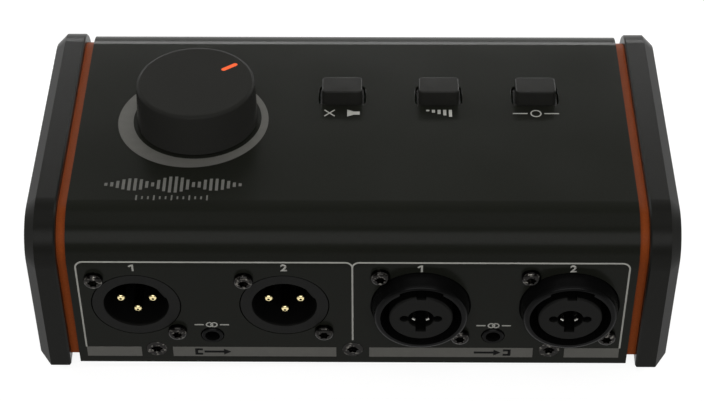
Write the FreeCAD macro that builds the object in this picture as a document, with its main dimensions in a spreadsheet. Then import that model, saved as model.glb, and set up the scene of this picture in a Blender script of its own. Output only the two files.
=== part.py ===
"""Desktop studio monitor controller: folded steel housing between two side cheeks.

All lengths are millimetres. +Z is up, the controls are reached from -Y and the sockets face +Y.
The origin is the middle of the underside of the bounding box, where the feet stand.
"""
import FreeCAD, Part
import os
import re
import Sketcher

Vector = FreeCAD.Vector
document = FreeCAD.newDocument("monitor_controller")

# ---------------------------------------------------------------- driving dimensions
SIZES = {
    # folded housing; its top and rear planes would meet in a line at corner_height
    "housing_width": 140,
    "housing_depth": 87,
    "corner_height": 49,
    "top_slope": 7,
    "bend_radius": 11,
    "sheet_metal": 1.5,
    "cover_lip": 12,
    "tray_clearance": 0.3,
    "flange_height": 7.2,
    "foot_height": 2.5,
    "foot_diameter": 10,
    "foot_inset": 14,
    # sandwich on each side
    "accent_thickness": 2.4,
    "accent_inset": 1.6,
    "cheek_thickness": 7.8,
    "cheek_proud": 0.7,
    "cheek_bevel": 2.6,
    "cheek_edge": 0.4,
    # volume knob; a margin is measured from the housing's side, a reach down the slope from the corner line
    "knob_margin": 30,
    "knob_reach": 45,
    "knob_base_diameter": 30.9,
    "knob_top_diameter": 30,
    "knob_height": 12,
    "knob_gap": 0.5,
    "knob_wall": 1.6,
    "knob_crown": 1.6,
    "knob_rounding": 0.9,
    "knob_hub_diameter": 11,
    "pointer_angle": 216.7,
    "pointer_start": 8,
    "pointer_length": 4.7,
    "pointer_width": 1.2,
    "pointer_depth": 0.6,
    # potentiometer under the knob
    "shaft_diameter": 6,
    "shaft_clearance": 0.05,
    "shaft_end_gap": 0.4,
    "shaft_tail": 4,
    "bush_diameter": 8,
    "bush_height": 3,
    "washer_diameter": 12,
    "washer_thickness": 0.5,
    "nut_flats": 11,
    "nut_height": 2,
    "hub_clearance": 0.5,
    "pot_width": 17,
    "pot_length": 17,
    "pot_corner": 1,
    # push buttons and their switches
    "button_margin": 23,
    "button_pitch": 25,
    "button_reach": 55.2,
    "button_width": 10.4,
    "button_length": 6.6,
    "button_height": 3.6,
    "button_skirt": 0.6,
    "button_corner": 1.1,
    "button_rounding": 0.35,
    "button_gap": 0.75,
    "button_ledge": 0.45,
    "button_ledge_drop": 0.5,
    "opening_rounding": 0.3,
    "button_travel": 2.5,
    "button_stop": 0.4,
    "plunger_width": 3,
    "plunger_socket": 2.4,
    "plunger_clearance": 0.1,
    "switch_width": 8.4,
    "switch_floor": 0.5,
    # circuit boards
    "board_thickness": 1.6,
    "control_board_drop": 12.5,
    "control_board_edge": 0.5,
    "control_board_length": 37,
    "control_board_margin": 11,
    "connector_board_depth": 29,
    "connector_board_margin": 6,
    "connector_board_low": 9,
    "connector_board_gap": 0.8,
    "standoff_diameter": 5,
    "standoff_inset": 5,
    # the four large sockets; the inner ones stand a little inside an even spacing
    "socket_margin": 16,
    "socket_shift": 1,
    "socket_block_width": 25,
    "socket_block_corner": 1,
    "socket_gap_below": 1.8,
    "socket_gap_above": 0.77,
    # balanced three-pin output sockets, flush with the panel
    "panel_gap": 0.3,
    "output_ring": 21.9,
    "output_cavity": 16.3,
    "output_cavity_depth": 13.5,
    "output_screw_offset": 9.8,
    "key_width": 3.4,
    "key_height": 0.6,
    "key_setback": 0.3,
    "pin_radius_out": 4.03,
    "pin_diameter": 2.4,
    "pin_setback": 1.9,
    "pin_centre_hole": 0.7,
    "pin_centre_depth": 0.5,
    "pin_clearance": 0.05,
    # input sockets that take a three-pin or a 6.35 mm plug
    "collar_base": 24.5,
    "collar_front": 23,
    "collar_proud": 4.3,
    "collar_rounding": 1,
    "collar_bore": 20.2,
    "collar_notch_width": 10.7,
    "collar_notch_depth": 0.7,
    "input_cavity_depth": 13,
    "input_screw_x": 10.1,
    "input_screw_y": 11.3,
    "core_diameter": 15.8,
    "core_edge": 0.4,
    "core_notch_width": 2.4,
    "core_notch_depth": 0.8,
    "plug_hole": 6.6,
    "plug_hole_depth": 31.5,
    "side_slot_width": 1.7,
    "side_slot_end": 2.3,
    "side_slot_reach": 5.3,
    "low_slot_width": 2.6,
    "low_slot_reach": 4.9,
    "contact_angle": -55,
    "contact_thickness": 0.35,
    "contact_width": 1.4,
    "contact_setback": 2,
    "contact_length": 10,
    # 3.5 mm stereo sockets
    "mini_gap_below": 0.6,
    "mini_ring": 5.4,
    "mini_bore": 3.7,
    "mini_proud": 0.4,
    "mini_depth": 15,
    "mini_block_width": 7,
    "mini_block_height": 6,
    # fasteners
    "fit_gap": 0.1,
    "case_screw_margin": 20,
    "case_screw_height": 5.2,
    "case_screw_head": 5.3,
    "case_screw_shank": 3,
    "case_screw_length": 6,
    "socket_screw_head": 4.8,
    "socket_screw_cap": 1.6,
    "socket_screw_shank": 2.5,
    "socket_screw_length": 8,
    "cheek_screw_head": 5.5,
    "cheek_screw_cap": 2,
    "cheek_screw_length": 8,
    "cheek_screw_rear": 37,
    "cheek_screw_front": 11,
    "cheek_screw_low": 8,
    "cheek_screw_high": 30,
    "board_screw_length": 6,
    "recess_depth": 0.9,
    # ribbon cable between the boards
    "ribbon_x": -12,
    "ribbon_width": 14,
    "ribbon_thickness": 0.9,
    "ribbon_bend": 4,
    "ribbon_height": 15,
    "header_inset": 14,
    "header_width": 18,
    "header_length": 6,
    "header_height": 6,
}

sheet = document.addObject("Spreadsheet::Sheet", "Sizes")
for row, (alias, number) in enumerate(SIZES.items(), start=1):
    sheet.set(f"A{row}", alias)
    sheet.set(f"B{row}", str(number))
    sheet.setAlias(f"B{row}", alias)
document.recompute()

# ---------------------------------------------------------------- places that many pieces share
REAR = "((housing_depth + cheek_proud + collar_proud) / 2 - collar_proud)"
FRONT = f"({REAR} - housing_depth)"
CORNER = "(foot_height + corner_height)"
HALF = "(housing_width / 2)"
CHEEK_INNER = f"({HALF} + accent_thickness)"
KNOB_X = f"({HALF} - knob_margin)"
CASE_SCREW_X = f"({HALF} - case_screw_margin)"
FAR_SOCKET = f"({HALF} - socket_margin)"
NEAR_SOCKET = f"({FAR_SOCKET} / 3 - socket_shift)"
MINI_X = f"(({FAR_SOCKET} + {NEAR_SOCKET}) / 2)"
BEND_START = "(corner_height - bend_radius / tan(45 - top_slope / 2))"
BLOCK_HEIGHT = f"({BEND_START} - socket_gap_above - flange_height - socket_gap_below)"
SOCKET_HEIGHT = f"(flange_height + socket_gap_below + {BLOCK_HEIGHT} / 2)"
MINI_HEIGHT = "(flange_height + mini_gap_below + mini_block_height / 2)"
CONTROL_START = "(knob_reach - pot_length / 2 - control_board_edge)"
CONTROL_WIDTH = "(housing_width - 2 * control_board_margin)"
HEADER_REACH = f"({CONTROL_START} + header_inset)"
BOARD_TOP = "(-control_board_drop)"
BOARD_UNDER = "(-control_board_drop - board_thickness)"
PANEL_INNER = "(-sheet_metal)"
SWITCH_TOP = "(-sheet_metal - button_skirt - button_travel - button_stop)"
TOP_AXIS = Vector(1, 0, 0)
REAR_AXIS = Vector(0, 1, 1)
NODES = []


def formula(text):
    """Turn a formula over the size names into one over the sheet's cells."""
    return re.sub(r"[a-z_]+", lambda word: f"Sizes.{word[0]}" if word[0] in SIZES else word[0], str(text))


def number(text):
    """The number that a formula over the sizes gives."""
    result = sheet.evalExpression(formula(text))
    return float(getattr(result, "Value", result))


def bind(item, name, text):
    """Tie a property of an object to a formula over the sizes."""
    item.setExpression(name, formula(text))


# ---------------------------------------------------------------- placing
def place(item, x="0", y="0", z="0", axis=TOP_AXIS, turn="0"):
    """Put an object at x, y, z, turned about an axis, all bound to the sizes."""
    base = Vector(number(x), number(y), number(z))
    item.Placement = FreeCAD.Placement(base, FreeCAD.Rotation(axis, number(turn)))
    for name, text in (("Base.x", x), ("Base.y", y), ("Base.z", z), ("Rotation.Angle", turn)):
        bind(item, f"Placement.{name}", text)
    return item


def place_on_top(item, x, reach, lift="0", flip=False):
    """Local z along the top panel's normal, or against it, local -y down the slope."""
    y = f"{REAR} - ({reach}) * cos(top_slope) - ({lift}) * sin(top_slope)"
    z = f"{CORNER} - ({reach}) * sin(top_slope) + ({lift}) * cos(top_slope)"
    return place(item, x, y, z, TOP_AXIS, "top_slope + 180" if flip else "top_slope")


def place_on_rear(item, x, height):
    """Local z out of the rear panel, local y up, local x towards -X."""
    return place(item, x, REAR, f"foot_height + ({height})", REAR_AXIS, "180")


# ---------------------------------------------------------------- sketches and features
def new_body(label, node=True):
    """A body; it becomes a file of its own unless it is only copied."""
    body = document.addObject("PartDesign::Body", label)
    body.Label = label
    if node:
        NODES.append(body)
    return body


def new_sketch(body, role, lift="0", shift="0", axis=None, turn="0"):
    """A sketch on an origin plane, moved out by lift and turned in or about an axis."""
    sketch = body.newObject("Sketcher::SketchObject", f"{body.Label}_sketch")
    plane = [item for item in body.Origin.OriginFeatures if item.Role == role][0]
    sketch.AttachmentSupport = [(plane, "")]
    sketch.MapMode = "FlatFace"
    rotation = FreeCAD.Rotation(axis or Vector(0, 0, 1), number(turn))
    sketch.AttachmentOffset = FreeCAD.Placement(Vector(0, number(shift), number(lift)), rotation)
    bind(sketch, "AttachmentOffset.Base.y", shift)
    bind(sketch, "AttachmentOffset.Base.z", lift)
    bind(sketch, "AttachmentOffset.Rotation.Angle", turn)
    return sketch


def pin_point(sketch, geometry, end, x, y):
    """Hold one point of a sketch at x, y from its origin."""
    for kind, text in (("DistanceX", x), ("DistanceY", y)):
        constraint = Sketcher.Constraint(kind, -1, 1, geometry, end, number(text))
        bind(sketch, f"Constraints[{sketch.addConstraint(constraint)}]", text)


def add_outline(sketch, points):
    """A closed outline of straight lines through points given as pairs of formulas."""
    corners = [Vector(number(x), number(y), 0) for x, y in points]
    first = sketch.GeometryCount
    for start, end in zip(corners, corners[1:] + corners[:1]):
        sketch.addGeometry(Part.LineSegment(start, end), False)
    for index, (x, y) in enumerate(points):
        following = first + (index + 1) % len(points)
        sketch.addConstraint(Sketcher.Constraint("Coincident", first + index, 2, following, 1))
        pin_point(sketch, first + index, 1, x, y)
    return sketch


def add_circle(sketch, x, y, diameter):
    """A circle with its centre and diameter bound to the sizes."""
    centre = Vector(number(x), number(y), 0)
    circle = Part.Circle(centre, Vector(0, 0, 1), number(diameter) / 2)
    geometry = sketch.addGeometry(circle, False)
    pin_point(sketch, geometry, 3, x, y)
    constraint = Sketcher.Constraint("Diameter", geometry, number(diameter))
    bind(sketch, f"Constraints[{sketch.addConstraint(constraint)}]", diameter)
    return sketch


def add_arch(sketch, width, radius):
    """An outline that stands on the origin, straight at its sides and closed by an arc about the origin."""
    half, reach = number(width) / 2, number(radius)
    side = (reach ** 2 - half ** 2) ** 0.5
    corners = [Vector(-half, 0, 0), Vector(half, 0, 0), Vector(half, side, 0), Vector(-half, side, 0)]
    first = sketch.GeometryCount
    sketch.addGeometry(Part.LineSegment(corners[0], corners[1]), False)
    sketch.addGeometry(Part.LineSegment(corners[1], corners[2]), False)
    sketch.addGeometry(Part.Arc(corners[2], Vector(0, reach, 0), corners[3]), False)
    sketch.addGeometry(Part.LineSegment(corners[3], corners[0]), False)
    for index in range(4):
        sketch.addConstraint(Sketcher.Constraint("Coincident", first + index, 2, first + (index + 1) % 4, 1))
    sketch.addConstraint(Sketcher.Constraint("Coincident", first + 2, 3, -1, 1))
    pin_point(sketch, first, 1, f"-({width}) / 2", "0")
    pin_point(sketch, first + 1, 1, f"({width}) / 2", "0")
    constraint = Sketcher.Constraint("Radius", first + 2, reach)
    bind(sketch, f"Constraints[{sketch.addConstraint(constraint)}]", radius)
    for end, text in ((1, f"({width}) / 2"), (2, f"-({width}) / 2")):
        constraint = Sketcher.Constraint("DistanceX", -1, 1, first + 2, end, number(text))
        bind(sketch, f"Constraints[{sketch.addConstraint(constraint)}]", text)
    return sketch


def add_round_slot(sketch, length, width, middle):
    """An outline along x about middle, with straight sides and half-round ends."""
    radius = number(width) / 2
    centres = (f"({middle}) - (({length}) - ({width})) / 2", f"({middle}) + (({length}) - ({width})) / 2")
    left, right = (number(text) for text in centres)
    first = sketch.GeometryCount
    sketch.addGeometry(Part.LineSegment(Vector(left, -radius, 0), Vector(right, -radius, 0)), False)
    sketch.addGeometry(Part.Arc(Vector(right, -radius, 0), Vector(right + radius, 0, 0),
                                Vector(right, radius, 0)), False)
    sketch.addGeometry(Part.LineSegment(Vector(right, radius, 0), Vector(left, radius, 0)), False)
    sketch.addGeometry(Part.Arc(Vector(left, radius, 0), Vector(left - radius, 0, 0),
                                Vector(left, -radius, 0)), False)
    for index in range(4):
        sketch.addConstraint(Sketcher.Constraint("Coincident", first + index, 2, first + (index + 1) % 4, 1))
    for arc, text in ((first + 1, centres[1]), (first + 3, centres[0])):
        pin_point(sketch, arc, 3, text, "0")
        constraint = Sketcher.Constraint("Radius", arc, radius)
        bind(sketch, f"Constraints[{sketch.addConstraint(constraint)}]", f"({width}) / 2")
        for end in (1, 2):
            constraint = Sketcher.Constraint("DistanceX", -1, 1, arc, end, number(text))
            bind(sketch, f"Constraints[{sketch.addConstraint(constraint)}]", text)
    return sketch


def rectangle(width, height, x="0", y="0"):
    """The corners of a rectangle about x, y."""
    left, right = f"({x}) - ({width}) / 2", f"({x}) + ({width}) / 2"
    low, high = f"({y}) - ({height}) / 2", f"({y}) + ({height}) / 2"
    return [(left, low), (right, low), (right, high), (left, high)]


def pad(body, sketch, length, symmetric=False):
    """Extrude a sketch along its normal, or to both sides of it."""
    feature = body.newObject("PartDesign::Pad", f"{body.Label}_pad")
    feature.Profile = sketch
    feature.SideType = "Symmetric" if symmetric else "One side"
    bind(feature, "Length", length)
    document.recompute()
    return feature


def pocket(body, sketch, length, symmetric=False, along=False):
    """Cut a sketch against its normal, to both sides, or along the normal."""
    before = body.Tip.Shape.Volume
    feature = body.newObject("PartDesign::Pocket", f"{body.Label}_pocket")
    feature.Profile = sketch
    feature.SideType = "Symmetric" if symmetric else "One side"
    feature.Reversed = along
    bind(feature, "Length", length)
    document.recompute()
    if feature.Shape.isNull() or feature.Shape.Volume >= before:
        raise RuntimeError(f"{feature.Label} cuts nothing")
    return feature


def revolve(body, points):
    """Turn an outline of radius and height pairs about the body's z axis."""
    sketch = add_outline(new_sketch(body, "XZ_Plane"), points)
    feature = body.newObject("PartDesign::Revolution", f"{body.Label}_revolution")
    feature.Profile = sketch
    feature.ReferenceAxis = (sketch, ["V_Axis"])
    feature.Angle = 360
    document.recompute()
    return feature


def soften(body, kind, edges, size):
    """Fillet or Chamfer the tip's edges for which edges(edge) holds."""
    base = body.Tip
    chosen = [f"Edge{i}" for i, edge in enumerate(base.Shape.Edges, start=1) if edges(edge)]
    if not chosen:
        raise RuntimeError(f"no edge to soften on {body.Label}")
    feature = body.newObject(f"PartDesign::{kind}", f"{body.Label}_{kind.lower()}")
    feature.Base = (base, chosen)
    bind(feature, "Radius" if kind == "Fillet" else "Size", size)
    document.recompute()
    return feature


# ---------------------------------------------------------------- picking edges
NEAR = 1e-4


def line_through(*places):
    """Edges along X that pass through one of the places, each a pair of formulas for y and z."""
    targets = [(number(y), number(z)) for y, z in places]

    def test(edge):
        start, end = edge.firstVertex().Point, edge.lastVertex().Point
        along_x = abs(start.y - end.y) < NEAR and abs(start.z - end.z) < NEAR
        return along_x and any(abs(start.y - y) < NEAR and abs(start.z - z) < NEAR for y, z in targets)

    return test


def upright(edge):
    """Edges along local z."""
    start, end = edge.firstVertex().Point, edge.lastVertex().Point
    return (start - end).Length > NEAR and abs(start.x - end.x) < NEAR and abs(start.y - end.y) < NEAR


def in_plane(axis, level):
    """Edges that lie wholly at one x, y or z."""
    value = number(level)
    low, high = axis.upper() + "Min", axis.upper() + "Max"

    def test(edge):
        box = edge.BoundBox
        return abs(getattr(box, low) - value) < NEAR and abs(getattr(box, high) - value) < NEAR

    return test


def circle_at(axis, level, diameter):
    """Round edges of one diameter at one x, y or z."""
    flat = in_plane(axis, level)
    radius = number(diameter) / 2

    def test(edge):
        return isinstance(edge.Curve, Part.Circle) and flat(edge) and abs(edge.Curve.Radius - radius) < NEAR

    return test


# ---------------------------------------------------------------- the side outline of the housing
def top_level(inset, y_from_rear):
    """Height of the sloping plane, moved inwards by inset, at a distance from the rear plane."""
    return f"{CORNER} - ({y_from_rear}) * tan(top_slope) - ({inset}) / cos(top_slope)"


def rear_top(inset):
    """Where the inset rear and top planes meet."""
    return f"{REAR} - ({inset})", top_level(inset, inset)


def front_top(inset):
    """Where the inset front and top planes meet."""
    return f"{FRONT} + ({inset})", top_level(inset, f"housing_depth - ({inset})")


def side_outline(inset, rise):
    """The housing's side outline, moved inwards by inset and with its underside raised by rise."""
    low = f"foot_height + ({rise})"
    return [(f"{REAR} - ({inset})", low), rear_top(inset), front_top(inset), (f"{FRONT} + ({inset})", low)]


def cheek_screw_places():
    """The four places, y and z, where each cheek is screwed on."""
    rows = (f"{REAR} - cheek_screw_rear", f"{FRONT} + cheek_screw_front")
    return [(y, f"foot_height + {z}") for y in rows for z in ("cheek_screw_low", "cheek_screw_high")]


def case_screw_columns():
    """The three places along X of the countersunk screws."""
    return f"-{CASE_SCREW_X}", "0", CASE_SCREW_X


def lip_screw_places():
    """Where the tray is screwed to the cover's lip, x and y."""
    y = f"{FRONT} + sheet_metal + cover_lip / 2"
    return [(x, y) for x in case_screw_columns()]


def button_places():
    """The buttons' names and x, from the user's right to the left."""
    names = ("mute_button", "dim_button", "mono_button")
    return [(name, f"(button_margin - {HALF} + {2 - i} * button_pitch)") for i, name in enumerate(names)]


def standoff_places():
    """Where the control board hangs from the top panel, x and reach."""
    side = f"({CONTROL_WIDTH} / 2 - standoff_inset)"
    near = f"({CONTROL_START} + standoff_inset)"
    far = f"({CONTROL_START} + control_board_length - standoff_inset)"
    return [(x, reach) for x in (f"-{side}", side) for reach in (near, far)]


SOCKETS = {"output_left": FAR_SOCKET, "output_right": NEAR_SOCKET,
           "input_left": f"(-{NEAR_SOCKET})", "input_right": f"(-{FAR_SOCKET})"}
PINS = [("-pin_radius_out", "0"), ("pin_radius_out", "0"), ("0", "-pin_radius_out")]


# ---------------------------------------------------------------- housing
def make_cover():
    """Folded cover: front, sloping top and rear in one sheet, with a lip to screw the tray to."""
    body = new_body("housing_cover")
    lip_end = f"{FRONT} + sheet_metal + cover_lip"
    outer = [(REAR, "foot_height"), rear_top("0"), front_top("0"), (FRONT, "foot_height + sheet_metal"),
             (lip_end, "foot_height + sheet_metal"), (lip_end, "foot_height")]
    pad(body, add_outline(new_sketch(body, "YZ_Plane"), outer), "housing_width", symmetric=True)
    below = "foot_height - sheet_metal"
    inner = [(f"{REAR} - sheet_metal", below), rear_top("sheet_metal"), front_top("sheet_metal"),
             (f"{FRONT} + sheet_metal", "foot_height + 2 * sheet_metal"),
             (lip_end, "foot_height + 2 * sheet_metal"), (lip_end, below)]
    cut = add_outline(new_sketch(body, "YZ_Plane"), inner)
    pocket(body, cut, "housing_width + 2 * sheet_metal", symmetric=True)
    inner_corners = line_through(rear_top("sheet_metal"), front_top("sheet_metal"))
    soften(body, "Fillet", inner_corners, "bend_radius - sheet_metal")
    soften(body, "Fillet", line_through(rear_top("0"), front_top("0")), "bend_radius")
    cut_top_panel(body)
    cut_rear_panel(body)
    lip = new_sketch(body, "XY_Plane", lift="foot_height + sheet_metal")
    for x in (HALF, f"-{HALF}"):
        add_outline(lip, rectangle("2 * (sheet_metal + tray_clearance)", "2 * cover_lip", x, lip_end))
    for x, y in lip_screw_places():
        add_circle(lip, x, y, "case_screw_shank + 2 * fit_gap")
    pocket(body, lip, "4 * sheet_metal", symmetric=True)
    return body


def cut_top_panel(body):
    """The potentiometer's hole and the three button openings."""
    def on_slope():
        sketch = new_sketch(body, "XY_Plane", axis=TOP_AXIS, turn="top_slope")
        bind(sketch, "AttachmentOffset.Base.y", REAR)
        bind(sketch, "AttachmentOffset.Base.z", CORNER)
        return sketch

    hole = add_circle(on_slope(), KNOB_X, "-knob_reach", "bush_diameter + 2 * fit_gap")
    pocket(body, hole, "4 * sheet_metal", symmetric=True)
    for name, x in button_places():
        width, length = (f"{size} + 2 * button_gap" for size in ("button_width", "button_length"))
        opening = rectangle(width, length, x, "-button_reach")
        pocket(body, add_outline(on_slope(), opening), "4 * sheet_metal", symmetric=True)
    slope_normal = FreeCAD.Rotation(TOP_AXIS, number("top_slope")).multVec(Vector(0, 0, 1))
    corner_line = Vector(0, number(REAR), number(CORNER))

    def by_opening(edge):
        """Whether both ends are no further up or down the slope than a button's opening reaches."""
        reaches = [(corner_line.y - vertex.Point.y) / slope_normal.z for vertex in edge.Vertexes]
        half = number(length) / 2 + number("sheet_metal")
        return max(abs(reach - number("button_reach")) for reach in reaches) < half

    def opening_corner(edge):
        step = edge.lastVertex().Point - edge.firstVertex().Point
        upright = abs(step.Length - number("sheet_metal")) < NEAR and step.cross(slope_normal).Length < NEAR
        return upright and by_opening(edge)

    def opening_rim(edge):
        levels = [(vertex.Point - corner_line).dot(slope_normal) for vertex in edge.Vertexes]
        return max(abs(level) for level in levels) < NEAR and by_opening(edge)

    soften(body, "Fillet", opening_corner, "button_corner + button_gap / 2")
    soften(body, "Fillet", opening_rim, "opening_rounding")


def cut_rear_panel(body):
    """Round holes for the sockets, holes for their screws and countersunk holes for the case screws."""
    holes = new_sketch(body, "XZ_Plane", lift=f"-{REAR}")
    centre = f"foot_height + {SOCKET_HEIGHT}"
    for name, x in SOCKETS.items():
        if name.startswith("output"):
            ring, dx, dz = "output_ring", "output_screw_offset", "output_screw_offset"
        else:
            ring, dx, dz = "collar_base", "input_screw_x", "input_screw_y"
        add_circle(holes, x, centre, f"{ring} + 2 * panel_gap")
        for side in ("+", "-"):
            add_circle(holes, f"{x} {side} {dx}", f"{centre} {side} {dz}", "socket_screw_shank + 4 * fit_gap")
    for x in (MINI_X, f"-{MINI_X}"):
        add_circle(holes, x, f"foot_height + {MINI_HEIGHT}", "mini_ring + 2 * panel_gap")
    pocket(body, holes, "4 * sheet_metal", symmetric=True)
    screws = new_sketch(body, "XZ_Plane", lift=f"-{REAR}")
    for x in case_screw_columns():
        add_circle(screws, x, "foot_height + case_screw_height", "case_screw_shank + 2 * fit_gap")
    pocket(body, screws, "4 * sheet_metal", symmetric=True)
    soften(body, "Chamfer", circle_at("y", REAR, "case_screw_shank + 2 * fit_gap"),
           "(case_screw_head - case_screw_shank) / 2")


def make_tray():
    """Base tray: floor, side walls behind the accent plates and a rear flange for the case screws."""
    body = new_body("base_tray")
    inner_rear = f"{REAR} - sheet_metal"
    floor = [(f"-{HALF}", FRONT), (HALF, FRONT), (HALF, inner_rear), (f"-{HALF}", inner_rear)]
    pad(body, add_outline(new_sketch(body, "XY_Plane", lift="foot_height"), floor), "sheet_metal")
    flange = new_sketch(body, "XZ_Plane", lift=f"sheet_metal - {REAR}")
    add_outline(flange, [(f"-{HALF}", "foot_height"), (HALF, "foot_height"),
                         (HALF, "foot_height + flange_height"), (f"-{HALF}", "foot_height + flange_height")])
    pad(body, flange, "sheet_metal")
    inset = "sheet_metal + tray_clearance"
    for start in (f"-{HALF}", f"{HALF} - sheet_metal"):
        wall = add_outline(new_sketch(body, "YZ_Plane", lift=start), side_outline(inset, "0"))
        pad(body, wall, "sheet_metal")
    soften(body, "Fillet", line_through(rear_top(inset), front_top(inset)), "bend_radius - sheet_metal")
    holes = new_sketch(body, "YZ_Plane")
    for y, z in cheek_screw_places():
        add_circle(holes, y, z, "case_screw_shank + 2 * fit_gap")
    pocket(body, holes, "housing_width + 2 * sheet_metal", symmetric=True)
    threads = new_sketch(body, "XZ_Plane", lift=f"-{REAR}")
    for x in case_screw_columns():
        add_circle(threads, x, "foot_height + case_screw_height", "case_screw_shank + 2 * fit_gap")
    pocket(body, threads, "8 * sheet_metal", symmetric=True)
    lip = new_sketch(body, "XY_Plane", lift="foot_height")
    for x, y in lip_screw_places():
        add_circle(lip, x, y, "case_screw_shank + 2 * fit_gap")
    pocket(body, lip, "4 * sheet_metal", symmetric=True)
    soften(body, "Chamfer", circle_at("z", "foot_height", "case_screw_shank + 2 * fit_gap"),
           "(case_screw_head - case_screw_shank) / 2")
    return body


def make_side(name, sign):
    """One accent plate and one cheek; sign is 1 on the +X side and -1 on the -X side."""
    plate = new_body(f"accent_plate_{name}")
    start = HALF if sign > 0 else f"-{CHEEK_INNER}"
    outline = side_outline("accent_inset", "accent_inset")
    pad(plate, add_outline(new_sketch(plate, "YZ_Plane", lift=start), outline), "accent_thickness")
    corners = line_through(rear_top("accent_inset"), front_top("accent_inset"))
    soften(plate, "Fillet", corners, "bend_radius - accent_inset")
    holes = new_sketch(plate, "YZ_Plane", lift=start)
    for y, z in cheek_screw_places():
        add_circle(holes, y, z, "case_screw_shank + 2 * fit_gap")
    pocket(plate, holes, "4 * accent_thickness", symmetric=True)

    cheek = new_body(f"side_cheek_{name}")
    outer = f"({CHEEK_INNER} + cheek_thickness)"
    start = CHEEK_INNER if sign > 0 else f"-{outer}"
    outline = side_outline("-cheek_proud", "-cheek_proud")
    pad(cheek, add_outline(new_sketch(cheek, "YZ_Plane", lift=start), outline), "cheek_thickness")
    corners = line_through(rear_top("-cheek_proud"), front_top("-cheek_proud"))
    soften(cheek, "Fillet", corners, "bend_radius + cheek_proud")
    soften(cheek, "Chamfer", in_plane("x", outer if sign > 0 else f"-{outer}"), "cheek_bevel")
    face = CHEEK_INNER if sign > 0 else f"-{CHEEK_INNER}"
    soften(cheek, "Chamfer", in_plane("x", face), "cheek_edge")
    threads = new_sketch(cheek, "YZ_Plane", lift=face)
    for y, z in cheek_screw_places():
        add_circle(threads, y, z, "case_screw_shank + 2 * fit_gap")
    depth = "cheek_screw_length - sheet_metal - accent_thickness + sheet_metal"
    pocket(cheek, threads, depth, along=sign > 0)


# ---------------------------------------------------------------- volume knob and potentiometer
def make_knob():
    """Hollow tapered knob with a hub on the shaft, and the inlaid pointer."""
    body = place_on_top(new_body("volume_knob"), KNOB_X, "knob_reach")
    base, top = "knob_base_diameter / 2", "knob_top_diameter / 2"
    bore, hub = "shaft_diameter / 2", "knob_hub_diameter / 2"
    crown = "knob_height - knob_crown"
    hub_low = "bush_height + hub_clearance"
    wall = "knob_base_diameter / 2 - knob_wall"
    revolve(body, [("0", "knob_height"), (top, "knob_height"), (base, "knob_gap"), (wall, "knob_gap"),
                   ("knob_top_diameter / 2 - knob_wall", crown), (hub, crown), (hub, hub_low),
                   (bore, hub_low), (bore, crown), ("0", crown)])
    soften(body, "Fillet", circle_at("z", "knob_height", "knob_top_diameter"), "knob_rounding")
    middle = "pointer_start + pointer_length / 2"
    slot = new_sketch(body, "XY_Plane", lift="knob_height", turn="pointer_angle")
    pocket(body, add_round_slot(slot, "pointer_length", "pointer_width", middle), "pointer_depth")

    pointer = place_on_top(new_body("knob_pointer"), KNOB_X, "knob_reach")
    strip = new_sketch(pointer, "XY_Plane", lift="knob_height - pointer_depth", turn="pointer_angle")
    pad(pointer, add_round_slot(strip, "pointer_length", "pointer_width", middle), "pointer_depth")


def make_potentiometer():
    """Potentiometer on the control board, held to the top panel by its bush, washer and nut."""
    case = place_on_top(new_body("potentiometer_case"), KNOB_X, "knob_reach")
    pad(case, add_outline(new_sketch(case, "XY_Plane", lift=BOARD_TOP), rectangle("pot_width", "pot_length")),
        f"{PANEL_INNER} - {BOARD_TOP}")
    soften(case, "Fillet", upright, "pot_corner")
    room = new_sketch(case, "XY_Plane", lift=PANEL_INNER)
    pocket(case, add_circle(room, "0", "0", "shaft_diameter + 2 * shaft_clearance"), "shaft_tail + fit_gap")

    bush = place_on_top(new_body("potentiometer_bush"), KNOB_X, "knob_reach")
    inner = "shaft_diameter / 2 + shaft_clearance"
    outer = "bush_diameter / 2"
    revolve(bush, [(inner, PANEL_INNER), (outer, PANEL_INNER), (outer, "bush_height"), (inner, "bush_height")])

    shaft = place_on_top(new_body("potentiometer_shaft"), KNOB_X, "knob_reach")
    reach = "knob_height - knob_crown - shaft_end_gap"
    radius, tail = "shaft_diameter / 2", f"{PANEL_INNER} - shaft_tail"
    revolve(shaft, [("0", tail), (radius, tail), (radius, reach), ("0", reach)])
    soften(shaft, "Chamfer", circle_at("z", reach, "shaft_diameter"), "shaft_end_gap")

    washer = place_on_top(new_body("bush_washer"), KNOB_X, "knob_reach")
    hole = "bush_diameter / 2 + fit_gap"
    revolve(washer, [(hole, "0"), ("washer_diameter / 2", "0"), ("washer_diameter / 2", "washer_thickness"),
                     (hole, "washer_thickness")])

    nut = place_on_top(new_body("bush_nut"), KNOB_X, "knob_reach")
    reach = "nut_flats / sqrt(3)"
    hexagon = [(f"{reach} * cos({60 * i})", f"{reach} * sin({60 * i})") for i in range(6)]
    pad(nut, add_outline(new_sketch(nut, "XY_Plane", lift="washer_thickness"), hexagon), "nut_height")
    thread = new_sketch(nut, "XY_Plane", lift="washer_thickness")
    pocket(nut, add_circle(thread, "0", "0", "bush_diameter + 2 * fit_gap"), "nut_height", along=True)


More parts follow.
